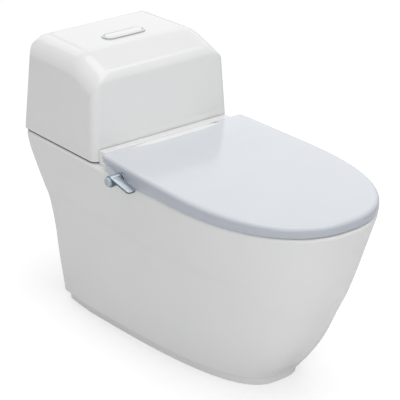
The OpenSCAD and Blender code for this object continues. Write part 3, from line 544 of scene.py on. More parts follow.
# Moulded nitrile rubber, dusty black with a fine matt grain
rubber = toned("moulded_rubber", "#1D1E20", "#2A2B2D", 45, 0.75, 1500, 0.15)
paint(rubber, "drain_seal", "tank_seal", "valve_seal", "seat_nuts")

# Hood and its seam
# The lift-off cover over the cistern: cast and glazed like the body, open below, with a brow that falls
# towards the lid. It stands on a dark foam strip that shows as the seam.

HOOD_W, HOOD_REAR_W, HOOD_FRONT, HOOD_REAR = 169.5, 164.1, 36.6, 290
HOOD_Z, HOOD_TOP, HOOD_T = 379.3, 576.5, 6
HOOD_MID_Y = (HOOD_FRONT + HOOD_REAR) / 2
CORNER_R, BACK_R, SIDE_R, END_R = 16, 13, 48, 15
FRONT_LEAN, REAR_LEAN, SIDE_LEAN, LEAN_H = 9.9, 16.7, 0.041, 161
BROW_Y, BROW_SLOPE, BROW_BLEND = 110, 0.387, 10


def edge_drop(d, r):
    """Height lost within r of a rounded edge."""
    return r - np.sqrt(r * r - (r - np.minimum(d, r)) ** 2)


def leaned(ring):
    """The hood's walls lean inwards as they rise."""
    x, y, z = ring.T
    h = (z - HOOD_Z) / LEAN_H
    shift = np.where(y < HOOD_MID_Y, FRONT_LEAN * h * (HOOD_MID_Y - y) / (HOOD_MID_Y - HOOD_FRONT),
                     -REAR_LEAN * h * (y - HOOD_MID_Y) / (HOOD_REAR - HOOD_MID_Y))
    return np.c_[x * (1 - SIDE_LEAN * h), y + shift, z]


def hood_plan(inset, edge, corner, side):
    rc, rb = CORNER_R + inset * 0.4, BACK_R + inset * 0.4
    w, wr = HOOD_W - inset, HOOD_REAR_W - inset
    yf, yr = HOOD_FRONT + inset, HOOD_REAR - inset
    u = np.linspace(0, 1, side + 2)[1:-1]
    half = [np.c_[np.linspace(0, w - rc, edge + 1)[:-1], np.full(edge, yf)],
            arc(w - rc, yf + rc, rc, -90, 0, corner + 1),
            np.c_[mix(w, wr, u), mix(yf + rc, yr - rb, u)],
            arc(wr - rb, yr - rb, rb, 0, 90, corner + 1),
            np.c_[np.linspace(wr - rb, 0, edge + 1)[1:-1], np.full(edge - 1, yr)]]
    return with_mirror(np.vstack(half))


def hood_height(x, y, t):
    wall_w = mix(HOOD_W, HOOD_REAR_W, (y - HOOD_FRONT) / (HOOD_REAR - HOOD_FRONT))
    ds = edge_drop(np.maximum(wall_w - t - abs(x), 0), SIDE_R - t)
    df = edge_drop(np.maximum(y - HOOD_FRONT - t, 0), END_R - t)
    dr = edge_drop(np.maximum(HOOD_REAR - t - y, 0), BACK_R - t)
    s = BROW_Y - y
    brow = BROW_SLOPE * (s + np.sqrt(s * s + BROW_BLEND ** 2)) / 2
    return HOOD_TOP - t - brow - (ds ** 4 + df ** 4 + dr ** 4) ** 0.25


def hood_form(name, t, foot, insets, steps, finish):
    """The hood's outside, or its inside at a wall of t: foot rings, upright walls, then the rounded top."""
    rings = [at_height(hood_plan(t + e, *steps), z) for z, e in foot]
    plan = hood_plan(t, *steps)
    start = hood_height(plan[:, 0], plan[:, 1], t)
    rings += [np.c_[plan, mix(HOOD_Z + 60, start, share)] for share in np.arange(6) / 6]
    for d in insets:
        plan = hood_plan(d + t, *steps)
        rings.append(np.c_[plan, hood_height(plan[:, 0], plan[:, 1], t)])
    return solid(name, [leaned(ring) for ring in rings], finish, front=steps[0], rear=steps[0] - 1)


HOOD_INSETS = [0, 0.15, 0.5, 1, 1.6, 2.3, 3.3, 4.4, 6, 7.8, 10, 12.3, 14.8, 17.3, 20, 22.7, 26, 29.5, 33, 37,
               43, 50, 58, 66]
HOOD_INSIDE = [0, 1, 3, 6, 10, 15, 21, 28, 38, 50, 66]
hood = hood_form("glazed_hood", 0, [(HOOD_Z, 1.3), (HOOD_Z + 0.3, 0.5), (HOOD_Z + 1.3, 0)], HOOD_INSETS,
                 (12, 12, 24), china)
cut(hood, hood_form("hood_inside", HOOD_T, [(HOOD_Z - 5, 0)], HOOD_INSIDE, (6, 6, 10), clay))

BUTTON_Y, BUTTON_L, BUTTON_W, SLEEVE_T, GAP = 163, 91, 24, 1.4, 0.8


def pill(grow):
    """The button's outline, grown."""
    r = BUTTON_W / 2 + grow
    half = np.vstack([[[0, -r]], arc((BUTTON_L - BUTTON_W) / 2, 0, r, -90, 90, 21)])
    return with_mirror(half) + [0, BUTTON_Y]


def pill_solid(name, grow, levels, finish):
    """A solid of the button's grown outline through (height, inset) levels."""
    return solid(name, [at_height(pill(grow - e), z) for z, e in levels], finish, front=1)


cut(hood, pill_solid("button_hole", SLEEVE_T + GAP, [(HOOD_TOP - 30, 0), (HOOD_TOP + 30, 0)], china))
smooth(hood, 32)
dress(hood, "hood", "glazed_ceramic", "tank_hood")
# Closed-cell foam, near black, with pores of about 1 mm
paint(toned("closed_cell_foam", "#2B2D30", "#3A3C3F", 60, 0.9, 900, 0.5), "hood_gasket")

# Flush button
# A pill-shaped button in a thin flanged sleeve, both moulded in glossy white ABS; the rod below it presses
# the rocker in the cistern.


def moulded(name, pale, deep, rough, grain=700, depth=0.02, side=None):
    """Glossy moulded plastic: almost one tone, a faint orange peel of 1 to 2 mm and a soft haze; a side tone
    is painted shade.
    """
    return toned(name, pale, deep, 12, rough, grain, depth, side=side, IOR=1.49)


white_abs = moulded("glossy_white_abs", "#F7F7F7", "#F3F3F4", 0.16)
# The flange's low upright edge is painted grey: painted shade between the flange and the hood
flange_white_painted_shade = moulded("glossy_white_flange_painted_shade", "#F4F4F4", "#F0F0F1", 0.16, side="#A9ACB0")
BUTTON_TRAVEL, BEZEL_RIM = 8, 3.5
BEZEL_Z = HOOD_TOP - BUTTON_TRAVEL - 6
bezel = pill_solid("button_flange", SLEEVE_T + BEZEL_RIM,
                   [(HOOD_TOP, 0), (HOOD_TOP + 1.7, 0), (HOOD_TOP + 2.1, 0.2), (HOOD_TOP + 2.4, 0.6),
                    (HOOD_TOP + 2.5, 1.1)], flange_white_painted_shade)
weld(bezel, pill_solid("sleeve", SLEEVE_T, [(BEZEL_Z, 0), (HOOD_TOP + 1, 0)], flange_white_painted_shade))
cut(bezel, pill_solid("bore", GAP, [(BEZEL_Z - 6, 0), (HOOD_TOP + 2, 0), (HOOD_TOP + 2.6, -0.4),
                                    (HOOD_TOP + 9, -0.4)], flange_white_painted_shade))
smooth(bezel, 35)
dress(bezel, "hood", "button_white", "button_bezel")

CROWN_R = 2.4
crown = [(HOOD_TOP + 0.8 + CROWN_R * math.sin(a), CROWN_R * (1 - math.cos(a)))
         for a in np.radians(np.linspace(0, 90, 8))]
crown += [(HOOD_TOP + 3.35, 4), (HOOD_TOP + 3.46, 6.5), (HOOD_TOP + 3.5, 9)]
button = pill_solid("flush_button_cap", 0, [(BEZEL_Z, 0.6), (BEZEL_Z + 0.6, 0)] + crown, white_abs)
ROCKER_Z, ROCKER_TOP, ROD_R = HOOD_TOP - 94.5, 2.3, 3
weld(button, turned("rod", rounded(ROD_R, BEZEL_Z + 1 - ROCKER_Z - ROCKER_TOP, 0.8),
                    [0, VALVE_Y, ROCKER_Z + ROCKER_TOP], [0, 0, 1], white_abs, 32))
smooth(button, 35)
dress(button, "button", "button_white", "flush_button")

# Cistern and valves
# A moulded tank under the hood with the flush valve's tower, its overflow tube and rocker, and the fill
# valve with its float. The fill valve's hose end and the bidet's inlet carry real thread ridges.

# Moulded polypropylene, milky grey, with soft flow clouds
paint(toned("milky_polypropylene", "#C9CBCC", "#BDC0C2", 8, 0.5, 350, 0.1), "cistern_tank")
# Matt injection-moulded ABS with a spark-eroded grain, in white and in the blue of the moving pieces
matt_white = toned("matt_white_abs", "#ECEDED", "#E4E5E6", 14, 0.48, 1100, 0.05)
matt_blue = toned("matt_blue_abs", "#3A6FB7", "#3364A8", 14, 0.48, 1100, 0.05)
paint(matt_white, "flush_tower", "fill_valve_nut", "control_valve")
paint(matt_blue, "flush_valve", "flush_rocker", "fill_valve_cap")
# Black moulded polypropylene of the float
paint(toned("black_polypropylene", "#232427", "#2C2D30", 16, 0.5, 800, 0.08), "float_cup")
# Turned stainless steel, with rings round the pins that show as fine streaks
steel = toned("turned_stainless", "#C2C4C6", "#ADB0B3", 40, 0.28, 2200, 0.02, metal=1.0, stretch=(8, 1, 1))
paint(steel, "rocker_pin", "hinge_pins", "seat_bolts")


def thread_tree():
    """A tree that winds a ridge of a thread round an axis between two points."""
    tree, given = group_tree("thread_ridge", "Threaded", Core="Geometry", Crest_Radius="Float",
                             Ridge="Float", Length="Float", Turns="Float", Start="Vector", Turn="Vector",
                             Finish="Material")
    radius = add(tree, "ShaderNodeMath", {0: given.outputs["Crest Radius"], 1: given.outputs["Ridge"]},
                 operation="SUBTRACT")
    spiral = add(tree, "GeometryNodeCurveSpiral",
                 {"Resolution": 40, "Rotations": given.outputs["Turns"], "Start Radius": radius.outputs[0],
                  "End Radius": radius.outputs[0], "Height": given.outputs["Length"]})
    section = add(tree, "GeometryNodeCurvePrimitiveCircle",
                  {"Resolution": 4, "Radius": given.outputs["Ridge"]})
    ridge = add(tree, "GeometryNodeCurveToMesh",
                {"Curve": spiral.outputs[0], "Profile Curve": section.outputs[0], "Fill Caps": True})
    placed = add(tree, "GeometryNodeTransform",
                 {"Geometry": ridge.outputs[0], "Translation": given.outputs["Start"],
                  "Rotation": given.outputs["Turn"]})
    together = add(tree, "GeometryNodeJoinGeometry")
    tree.links.new(given.outputs["Core"], together.inputs[0])
    tree.links.new(placed.outputs[0], together.inputs[0])
    return group_end(tree, given, together)


threads = thread_tree()


def threaded(name, core, r, ridge, length, pitch, start, turn, finish):
    """The core with a thread of that crest radius, from start along the turned Z axis."""
    return grown(name, threads, core, Crest_Radius=r * MM, Ridge=ridge * MM, Length=length * MM,
                 Turns=length / pitch, Start=[v * MM for v in start], Turn=turn, Finish=finish)


CISTERN_FLOOR, FILL_TOP, FILL_R = 382.5, 476, 10.4
FILL_LOW = UNDER_Z - 32
FLANGE_S = CISTERN_FLOOR - FILL_LOW
stem_profile = [(6, 0), (FILL_R - 1, 0), (FILL_R - 1, 22), (NECK_R, 22), (NECK_R, FLANGE_S), (17, FLANGE_S),
                (17, FLANGE_S + 5.2), (16.2, FLANGE_S + 6), (12, FLANGE_S + 6), (12, FILL_TOP - FILL_LOW),
                (6, FILL_TOP - FILL_LOW)]
stem = turned("fill_valve_stem_piece", stem_profile, [-FILL_X, VALVE_Y, FILL_LOW], [0, 0, 1], matt_white,
              48)
stem = threaded("fill_valve_threaded_stem", stem, FILL_R, 0.75, 19, 1.8, [-FILL_X, VALVE_Y, FILL_LOW + 1.5],
                (0, 0, 0), matt_white)
smooth(stem, 40)
dress(stem, "pan", "white_abs", "fill_valve_stem")

# Seat plate, base and hinge
# A pressed steel plate bolted through the deck holds the bidet seat's base: a shallow tray with the hinge's
# barrels, its two ends closed by separate covers, all moulded in glossy off-white.

# Pressed zinc-plated steel, with rolling streaks along its length
paint(toned("rolled_zinc_plate", "#B9BCBF", "#A5A9AD", 25, 0.38, 900, 0.04, metal=1.0, stretch=(0.1, 1, 1)),
      "seat_plate")
# Glossy moulded plastic with a faint blue cast, and for the base's ends a deeper tone that is painted shade
seat_white = moulded("glossy_seat_plastic", "#E4E8ED", "#DFE4EA", 0.14)
seat_band = moulded("glossy_seat_plastic_painted_shade", "#DADDE8", "#D3D7E3", 0.16)


def round_edges(piece, width, angle):
    """Rounds the edges that are sharper than the angle to that width, in three steps."""
    edge = piece.modifiers.new("edge", "BEVEL")
    edge.width, edge.segments = width * MM, 3
    edge.limit_method, edge.angle_limit = "ANGLE", math.radians(angle)
    return settle(piece)


def softened(name, node, width, finish, body, slot):
    """A copy of a node with its edges rounded as a mould leaves them, which then stands for the node."""
    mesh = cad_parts[node].data.copy()
    mesh.materials.clear()
    mesh.materials.append(finish)
    piece = linked(name, mesh)
    edit = bmesh.new()
    edit.from_mesh(mesh)
    bmesh.ops.remove_doubles(edit, verts=edit.verts, dist=0.002 * MM)
    bmesh.ops.dissolve_limit(edit, angle_limit=math.radians(0.4), verts=edit.verts, edges=edit.edges)
    edit.to_mesh(mesh)
    edit.free()
    round_edges(piece, width, 35)
    smooth(piece, 38)
    return dress(piece, body, slot, node)


softened("seat_base_shell", "seat_base", 1.0, seat_white, "pan", "seat_white")
# The end covers and the lever's boss take the deeper tone, which is painted shade
end_covers = softened("seat_end_covers", "base_end_covers", 0.7, seat_band, "pan", "seat_band")
# A boss on the left cover carries the wash lever's hub
LEVER_Y, LEVER_Z = -62, RIM_Z + 7.4
BOSS_OUT, BOSS_R, BOSS_BORE, BOSS_L = 180.3, 10.5, 4.4, 7
weld(end_covers, turned("lever_boss", rounded(BOSS_R, BOSS_L, 0.8, bore=BOSS_BORE),
                        [-BOSS_OUT, LEVER_Y, LEVER_Z], [1, 0, 0], seat_band))
smooth(end_covers, 38)
softened("nozzle_housing_shell", "nozzle_housing", 1.2, seat_white, "pan", "seat_white")
# Drawn stainless tube of the nozzles, brushed along its length
paint(toned("drawn_stainless_tube", "#C9CBCD", "#B4B7BA", 60, 0.22, 1800, 0.02, metal=1.0,
            stretch=(1, 0.1, 0.1)), "nozzle_rear", "nozzle_front")

# Lid
# A thin moulded shell with a soft crown and a skirt that hides the ring; two ears at its rear turn on the
# hinge pins. Its skirt is notched over the seat base and its rear edge over the hinge.

LID_W, LID_FRONT, LID_REAR, LID_REAR_H, LID_FRONT_H = 185, 504, 7.4, 35.6, 21.3
LID_T, LID_CROWN, LID_EDGE_R = 3.5, 5, 8
LID_Z = RIM_Z + 2.5
HINGE_Y, HINGE_Z, PIN_R, KNUCKLE_R = 8, RIM_Z + 20, 5, 10
BASE_FRONT, BASE_REAR, MID_END, END_START = -78, -4, 110, 148
EAR_GAP, EAR_SPLIT = 0.5, 129.5
NOTCH_W, NOTCH_REAR, BASE_NOTCH_Z, HINGE_NOTCH_Z = 200, 140, RIM_Z + 21.5, RIM_Z + 28


def lid_top(y):
    return RIM_Z + LID_FRONT_H + (LID_REAR_H - LID_FRONT_H) / (LID_FRONT + LID_REAR) * (y + LID_FRONT)


def lid_plan(inset, steps):
    return outline(LID_W - inset, LID_W - 8.3 - inset, -LID_FRONT + inset, LID_REAR - inset, WIDEST_Y,
                   2.3, 8 + inset * 0.1, steps)


def lid_form(name, t, foot, insets, steps, finish):
    """The lid's outside, or its inside at a wall of t: the skirt's foot rings, then the crowned top."""
    rings = [at_height(lid_plan(t + e, steps), z) for z, e in foot]
    for d in insets:
        plan = lid_plan(d + t, steps)
        rise = LID_CROWN * (1 - (1 - min((d + t) / (LID_W * 0.9), 1)) ** 2)
        rings.append(np.c_[plan, lid_top(plan[:, 1]) - t - edge_drop(d, LID_EDGE_R - t) + rise])
    return solid(name, rings, finish)


LID_STEPS, FEW_STEPS = (64, 24, 10), (24, 10, 5)
LID_INSETS = [0, 0.1, 0.35, 0.8, 1.4, 2.2, 3.2, 4.4, 6, 8, 11, 15, 20, 27, 35, 45, 57, 70, 84, 98, 112, 126,
              138, 150]
LID_INSIDE = [0, 0.8, 2.5, 5, 9, 20, 40, 66, 94, 124, 150]
# The seat's plastic again, with painted shade that makes it deeper on the lid's upright skirt
lid_white_painted_skirt_shade = moulded("glossy_lid_plastic_painted_skirt_shade", "#E4E8ED", "#DFE4EA", 0.14, side="#C6CBD5")
lid = lid_form("seat_lid_shell", 0, [(LID_Z, 1), (LID_Z + 0.3, 0.3), (LID_Z + 1, 0)], LID_INSETS, LID_STEPS,
               lid_white_painted_skirt_shade)
cut(lid, lid_form("lid_inside", LID_T, [(RIM_Z - 2, 0)], LID_INSIDE, FEW_STEPS, seat_white))
cut(lid, block("base_notch", [-NOTCH_W, BASE_FRONT + 2, RIM_Z - 5], [NOTCH_W, NOTCH_REAR, BASE_NOTCH_Z],
               seat_white))
cut(lid, block("rear_notch", [-NOTCH_W, BASE_REAR + 2, RIM_Z - 6], [NOTCH_W, NOTCH_REAR + 1, HINGE_NOTCH_Z],
               seat_white))


def hull(points):
    """The convex outline round points in a plane, counter-clockwise."""
    points = sorted(map(tuple, points))

    def chain(run):
        out = []
        for p in run:
            while len(out) > 1 and ((out[-1][0] - out[-2][0]) * (p[1] - out[-2][1])
                                    - (out[-1][1] - out[-2][1]) * (p[0] - out[-2][0])) <= 0:
                out.pop()
            out.append(p)
        return out[:-1]

    return np.array(chain(points) + chain(points[::-1]))


def along_x(x, profile):
    """A profile in Y and Z at its place along X."""
    return np.c_[np.full(len(profile), x), profile]


def ear(name, x0, x1, low, high, finish):
    """A hinge ear from x0 to x1: round the pin and out to a rectangle in Y and Z."""
    knuckle = arc(-HINGE_Y, HINGE_Z, KNUCKLE_R, 0, 352.5, 48)
    profile = hull(np.vstack([knuckle, [low, [high[0], low[1]], high, [low[0], high[1]]]]))
    return prism(name, along_x(x0, profile), along_x(x1, profile), finish)


def both_ears(near, far):
    """Where an ear starts and ends along X, on the left and on the right of the middle line."""
    return [(-far, -near), (near, far)]


def pin_bore(x0, x1):
    """The hinge pin's hole through an ear from x0 to x1."""
    start = [(x0 + x1) / 2 - 15, -HINGE_Y, HINGE_Z]
    return drill("pin_bore", PIN_R + 0.05, 30, start, [1, 0, 0], seat_white)


for x0, x1 in both_ears(EAR_SPLIT, END_START - EAR_GAP):
    lug = ear("lid_ear", x0, x1, (-34, RIM_Z + 28), (-8, RIM_Z + 40), seat_white)
    combine(lug, lid_form("lid_middle", LID_T / 2, [(RIM_Z - 2, 0)], LID_INSIDE, FEW_STEPS, seat_white),
            "INTERSECT")
    weld(lid, lug)
    cut(lid, pin_bore(x0, x1))

# Hinge cover
# The bright strip in front of the hood: a fixed moulding of glossy white ABS between the lid's ears, clipped
# on the seat's base, with a barrel round the hinge and a shelf up to the hood. The lid is cut back round it.

COVER_END, COVER_R, COVER_TAPER, COVER_STRAIGHT = 109.5, 18.5, 3.7, 55
COVER_FOOT, COVER_LIP, COVER_LOW, COVER_GAP = -6, -24, RIM_Z + 0.3, 0.4
SHELF_END, SHELF_FRONT, SHELF_REAR, SHELF_Z = 158, 16, 36.3, RIM_Z + 28
TROUGH, TROUGH_REAR = 8, 13.5


def cover_radius(x):
    """The barrel gets slimmer towards its ends."""
    return COVER_R - COVER_TAPER * (max(abs(x) - COVER_STRAIGHT, 0) / (COVER_END - COVER_STRAIGHT)) ** 1.6


def hinge_cover(name, stations, profile, finish):
    """A closed mesh along X through (x, inset) stations with that profile in Y and Z."""
    rings = [along_x(x, profile(x, e)) for x, e in stations]
    n = len(rings[0])
    faces = [(k * n + i, (k + 1) * n + i, (k + 1) * n + (i + 1) % n, k * n + (i + 1) % n)
             for k in range(len(rings) - 1) for i in range(n)]
    faces += [tuple(range(n)), tuple((len(rings) - 1) * n + i for i in reversed(range(n)))]
    return made(name, np.vstack(rings), faces, finish)


def cover_profile(x, inset):
    """The barrel, a trough that the opened lid's edge dips into, and a shelf up to the hood's front."""
    r = cover_radius(x) - inset
    barrel = arc(-HINGE_Y, HINGE_Z, r, 168, 0, 42)
    trough = [[-HINGE_Y + r, HINGE_Z - TROUGH], [TROUGH_REAR, HINGE_Z - TROUGH]]
    shelf = [[TROUGH_REAR + 2, SHELF_Z], [SHELF_REAR - 0.5, SHELF_Z], [SHELF_REAR, SHELF_Z - 0.5]]
    under = [[SHELF_REAR, COVER_LOW], [COVER_FOOT, COVER_LOW], [COVER_FOOT, HINGE_Z + 1],
             [COVER_LIP + inset, HINGE_Z + 1]]
    return np.vstack([barrel, trough, shelf, under])


def cover_clearance(x, inset):
    """What the lid leaves free round the cover: the barrel grown by a gap, and all that lies behind it."""
    r = cover_radius(x) + COVER_GAP
    barrel = arc(-HINGE_Y, HINGE_Z, r, 180, 90, 40)
    behind = [[-HINGE_Y, RIM_Z + 60], [60, RIM_Z + 60], [60, RIM_Z - 6]]
    return np.vstack([[[-HINGE_Y - r, RIM_Z - 6]], barrel, behind])


middle = [(x, 0) for x in np.linspace(-108, 108, 37)]
left_end = [(-COVER_END, 0.8), (-COVER_END + 0.3, 0.3)]
right_end = [(COVER_END - 0.3, 0.3), (COVER_END, 0.8)]
cover = hinge_cover("hinge_cover", left_end + middle + right_end, cover_profile, white_abs)
weld(cover, block("cover_shelf", [-SHELF_END, SHELF_FRONT, COVER_LOW],
                  [SHELF_END, SHELF_REAR - 0.5, SHELF_Z], white_abs))
smooth(cover, 35)
dress(cover, "pan", "seat_white")
space = [(-COVER_END - COVER_GAP, 0)] + middle + [(COVER_END + COVER_GAP, 0)]
cut(lid, hinge_cover("cover_space", space, cover_clearance, white_abs))
smooth(lid, 30)
dress(lid, "lid", "seat_white", "seat_lid")

# Ring
# The seat ring, a closed moulding of the seat's plastic with a soft inner edge, lies on six rubber pads.
# Its ears turn on the hinge pins, inside the lid's.

RING_W, RING_FRONT, RING_REAR, RING_Z, RING_GAP = 178.5, -497.5, -80, RIM_Z + 4.5, 3.4
HOLE_W, HOLE_L, RING_MID = 113, 268, -226
POCKET_W, POCKET_FRONT, POCKET_H = 45, -200, 10.5


def ring_levels(plan, foot, crest, steps):
    """Rings through (inset, height) at the foot and (inset, depth below the sloping top) at the crest."""
    rings = [at_height(plan(e, steps), z) for e, z in foot]
    for e, drop in crest:
        flat = plan(e, steps)
        rings.append(np.c_[flat, lid_top(flat[:, 1]) - LID_T - RING_GAP - drop])
    return rings


def ring_plan(inset, steps):
    return outline(RING_W - inset, RING_W - 2.5 - inset, RING_FRONT + inset, RING_REAR - inset, WIDEST_Y,
                   2.3, 14 - inset * 0.5, steps)


def hole_plan(grow, steps):
    return opening(HOLE_W + grow, RING_MID - HOLE_L * 0.72 - grow, RING_MID + HOLE_L * 0.28 + grow,
                   RING_MID, 2.1, 2.3, steps)


quarter = np.radians(np.linspace(0, 90, 9))
ring_foot = [(3 * (1 - math.sin(a)), RING_Z + 4 * (1 - math.cos(a))) for a in quarter]
ring_crest = [(8 * (1 - math.cos(a)), 5 * (1 - math.sin(a))) for a in quarter]
seat_ring = solid("seat_ring_moulding", ring_levels(ring_plan, ring_foot, ring_crest, LID_STEPS), seat_white)
ring_ears = both_ears(MID_END + EAR_GAP, EAR_SPLIT - EAR_GAP)
for x0, x1 in ring_ears:
    weld(seat_ring, ear("ring_ear", x0, x1, (RING_REAR - 4, RIM_Z + 11), (RING_REAR, RIM_Z + 23),
                        seat_white))
hole_foot = [(4.6, RING_Z - 1)]
hole_foot += [(4 * (1 - math.sin(a)), RING_Z + 3 * (1 - math.cos(a))) for a in quarter]
hole_crest = [(10 * (1 - math.cos(a)), 6 * (1 - math.sin(a))) for a in quarter[1:]] + [(10.6, -4)]
cut(seat_ring, solid("hole", ring_levels(hole_plan, hole_foot, hole_crest, LID_STEPS), seat_white))
cut(seat_ring, block("nozzle_pocket", [-POCKET_W, POCKET_FRONT, RIM_Z], [POCKET_W, -50, RIM_Z + POCKET_H],
                     seat_white))
for x0, x1 in ring_ears:
    cut(seat_ring, pin_bore(x0, x1))
smooth(seat_ring, 30)
dress(seat_ring, "ring", "seat_white", "seat_ring")
# Soft thermoplastic rubber pads, pale grey and matt
pads = toned("soft_grey_pads", "#A9ABAE", "#9DA0A3", 40, 0.8, 1300, 0.1)
paint(pads, "lid_bumpers", "ring_bumpers")

# Wash lever and inlet
# A turned hub with a paddle that reaches forward beside the lid, a real ring in the hub's end whose teal
# tint is a painted reflection, and on the other side the threaded brass stub, plated, that takes the supply
# hose.

HUB_R, HUB_IN, HUB_OUT = 11.5, 180.5, 207
CAP_R, CAP_DEPTH, SHAFT_R, SHAFT_IN = 9, 6, 4, 152
PADDLE_OUT, PADDLE_IN, PADDLE_REACH, PADDLE_T, PADDLE_R = 208.5, 187.2, 61, 4, 7
# Zinc casting with a satin plating that mirrors the room softly; its upright sides are painted darker, as
# painted shade
lever_chrome = toned("satin_plating_painted_side_shade", "#B4BEC6", "#A8B2BB", 20, 0.22, 1500, 0.02, metal=0.85,
                     side="#66727C")


def paddle_blade(name, finish):
    """A flat blade with round corners, from the hub's axis forward and a little down."""
    slope = math.radians(13)
    out, inside, reach, r = PADDLE_OUT, PADDLE_IN, PADDLE_REACH, PADDLE_R
    a = np.radians(np.linspace(0, 90, 9))
    turn = np.c_[r * np.cos(a), r * np.sin(a)]
    plan = []
    for u, v in [(out - r, reach - r), (inside + r, reach - r), (inside + r, r), (out - r, r)]:
        plan.append(turn + [u, v])
        turn = np.c_[-turn[:, 1], turn[:, 0]]
    plan = np.vstack(plan)
    under = np.c_[-plan[:, 0], LEVER_Y - plan[:, 1] * math.cos(slope),
                  LEVER_Z + PADDLE_R - plan[:, 1] * math.sin(slope)]
    blade = prism(name, under, under + np.array([0, -math.sin(slope), math.cos(slope)]) * PADDLE_T, finish)
    return round_edges(blade, 1, 50)


lever = turned("wash_lever", rounded(HUB_R, HUB_OUT - HUB_IN, 1.2), [-HUB_OUT, LEVER_Y, LEVER_Z], [1, 0, 0],
               lever_chrome)
weld(lever, paddle_blade("paddle", lever_chrome))
weld(lever, turned("shaft", rounded(SHAFT_R, HUB_IN + 1 - SHAFT_IN, 0.6),
                   [-HUB_IN - 1, LEVER_Y, LEVER_Z], [1, 0, 0], lever_chrome, 32))
cut(lever, turned("cap_bore", rounded(CAP_R + 0.05, 10 + CAP_DEPTH, 0.1),
                  [-HUB_OUT - 10, LEVER_Y, LEVER_Z], [1, 0, 0], lever_chrome))
smooth(lever, 35)
dress(lever, "lever", "lever_chrome", "lever_handle")

# The cap is pale grey satin plastic; the thin ring between it and the hub is teal, a painted reflection
cap_grey = moulded("satin_grey_cap", "#C9CED4", "#C0C6CD", 0.3)
teal_painted_reflection = moulded("teal_ring_painted_reflection", "#5FA8B0", "#559DA6", 0.2)
DIMPLE_R, DIMPLE_DEPTH, TINT_R, TINT_W = 5, 1.1, CAP_R + 1.6, 1.4
cap_end = HUB_OUT + CAP_DEPTH
cap = turned("lever_end_cap", rounded(CAP_R - 0.1, 2 * CAP_DEPTH, 1.2), [-cap_end, LEVER_Y, LEVER_Z],
             [1, 0, 0], cap_grey)
cut(cap, turned("cap_dimple", rounded(DIMPLE_R, 2.4 + DIMPLE_DEPTH, 0.4),
                [-cap_end - 2.4, LEVER_Y, LEVER_Z], [1, 0, 0], cap_grey, 48))
weld(cap, turned("ring_band_painted_reflection", rounded(TINT_R, TINT_W, 0.4), [-HUB_OUT - 1.5, LEVER_Y, LEVER_Z],
                 [1, 0, 0], teal_painted_reflection))
smooth(cap, 35)
dress(cap, "lever", "teal_ring", "lever_cap")

# Turned brass with a warm nickel plate
INLET_R, INLET_IN, INLET_Y, INLET_Z = 8.3, 152, -40, RIM_Z + 10
nickel = toned("nickel_plate", "#C9C7C1", "#B9B6AF", 30, 0.24, 1600, 0.02, metal=1.0)
inlet_profile = [(5, 0), (INLET_R, 0), (INLET_R, 22.8), (INLET_R + 1, 22.8), (INLET_R + 1.5, 23.3),
                 (INLET_R + 1.5, 28), (INLET_R + 1, 28.5), (INLET_R - 0.8, 28.5), (INLET_R - 0.8, 43),
                 (5, 43)]
inlet = turned("bidet_inlet_core", inlet_profile, [INLET_IN, INLET_Y, INLET_Z], [1, 0, 0], nickel, 48)
inlet = threaded("bidet_inlet_stub", inlet, INLET_R, 0.6, 12.5, 1.6, [INLET_IN + 29.5, INLET_Y, INLET_Z],
                 (0, math.pi / 2, 0), nickel)
smooth(inlet, 40)
dress(inlet, "pan", "lever_chrome", "bidet_inlet")

# Studio
# A plain pale floor, a white surround, and soft light from above and from the left in front, seen from
# where the photo was taken.

AMBIENT, FLOOR_LIFT, FLOOR_REACH = 0.411, 0.42, 9000


def pale_floor():
    """Matt off-white paper. The camera sees it lifted to white, with the object's shadow still on it."""
    material, tree, place = finish_tree("pale_floor")
    cloud = add(tree, "ShaderNodeTexNoise", {"Vector": place, "Scale": 3.0})
    tone = add(tree, "ShaderNodeMix", {0: cloud.outputs["Fac"], 6: linear("#EDEDED"), 7: linear("#EBEBEB")},
               data_type="RGBA")
    matt = add(tree, "ShaderNodeBsdfDiffuse", {"Color": tone.outputs[2]})
    seen = add(tree, "ShaderNodeLightPath").outputs["Is Camera Ray"]
    strength = add(tree, "ShaderNodeMath", {0: seen, 1: FLOOR_LIFT}, operation="MULTIPLY")
    lift = add(tree, "ShaderNodeEmission", {"Color": (1, 1, 1, 1), "Strength": strength.outputs[0]})
    both = add(tree, "ShaderNodeAddShader", {0: matt.outputs[0], 1: lift.outputs[0]})
    add(tree, "ShaderNodeOutputMaterial", {"Surface": both.outputs[0]})
    return material


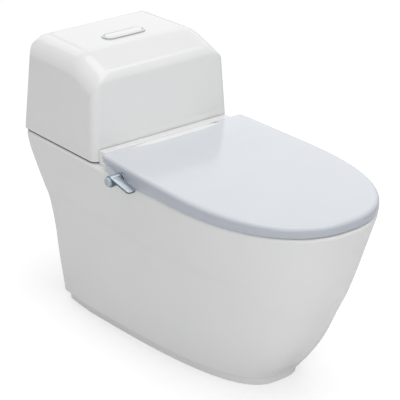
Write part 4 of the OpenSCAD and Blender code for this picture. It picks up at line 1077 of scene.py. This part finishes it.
corners = [(x * FLOOR_REACH, y * FLOOR_REACH, 0) for x, y in ((-1, -1), (1, -1), (1, 1), (-1, 1))]
floor = made("studio_floor", corners, [(0, 1, 2, 3)], pale_floor())

world = bpy.data.worlds.new("studio")
bpy.context.scene.world = world
world.use_nodes = True
world.node_tree.nodes.clear()
room = world.node_tree
path = add(room, "ShaderNodeLightPath").outputs
seen = add(room, "ShaderNodeMath", {0: path["Is Camera Ray"], 1: path["Is Glossy Ray"]},
           operation="MAXIMUM")
clear = add(room, "ShaderNodeMath", {0: seen.outputs[0], 1: path["Is Transmission Ray"]},
            operation="MAXIMUM")
strength = add(room, "ShaderNodeMapRange", {"Value": clear.outputs[0], "To Min": AMBIENT, "To Max": 1.0})
surround = add(room, "ShaderNodeBackground", {"Color": (1, 1, 1, 1), "Strength": strength.outputs[0]})
add(room, "ShaderNodeOutputWorld", {"Surface": surround.outputs[0]})


def soft_light(name, place, aim, size, power):
    """A square area light in metres and watts."""
    lamp = bpy.data.lights.new(name, "AREA")
    lamp.shape, lamp.size, lamp.energy = "SQUARE", size, power
    light = linked(name, lamp)
    light.location = place
    light.rotation_euler = (Vector(aim) - Vector(place)).to_track_quat("-Z", "Y").to_euler()


for name, place, size, power in [("overhead_light", (0.3, -0.3, 3.4), 3.0, 42.6),
                                 ("front_light", (0, -4.5, 2), 2.5, 16.6),
                                 ("left_front_light", (-3.4, -3.2, 2), 2.5, 38.8),
                                 ("right_rear_light", (3.3, 3.2, 2.4), 2.5, 6.8),
                                 ("rear_light", (0.5, 4.2, 2.8), 2.5, 15.5)]:
    soft_light(name, place, (0, -0.1, 0.3), size, power)

eye, target = Vector((-2.1349, -2.7005, 1.7492)), Vector((0, -0.0764, 0.29475))
lens = bpy.data.cameras.new("photo_view")
lens.lens, lens.sensor_width = 168.9, 36
lens.shift_x = 0.00175
camera = linked("photo_view", lens)
camera.location = eye
camera.rotation_euler = (target - eye).to_track_quat("-Z", "Y").to_euler()
bpy.context.scene.camera = camera
bpy.context.scene.view_settings.view_transform = "Standard"
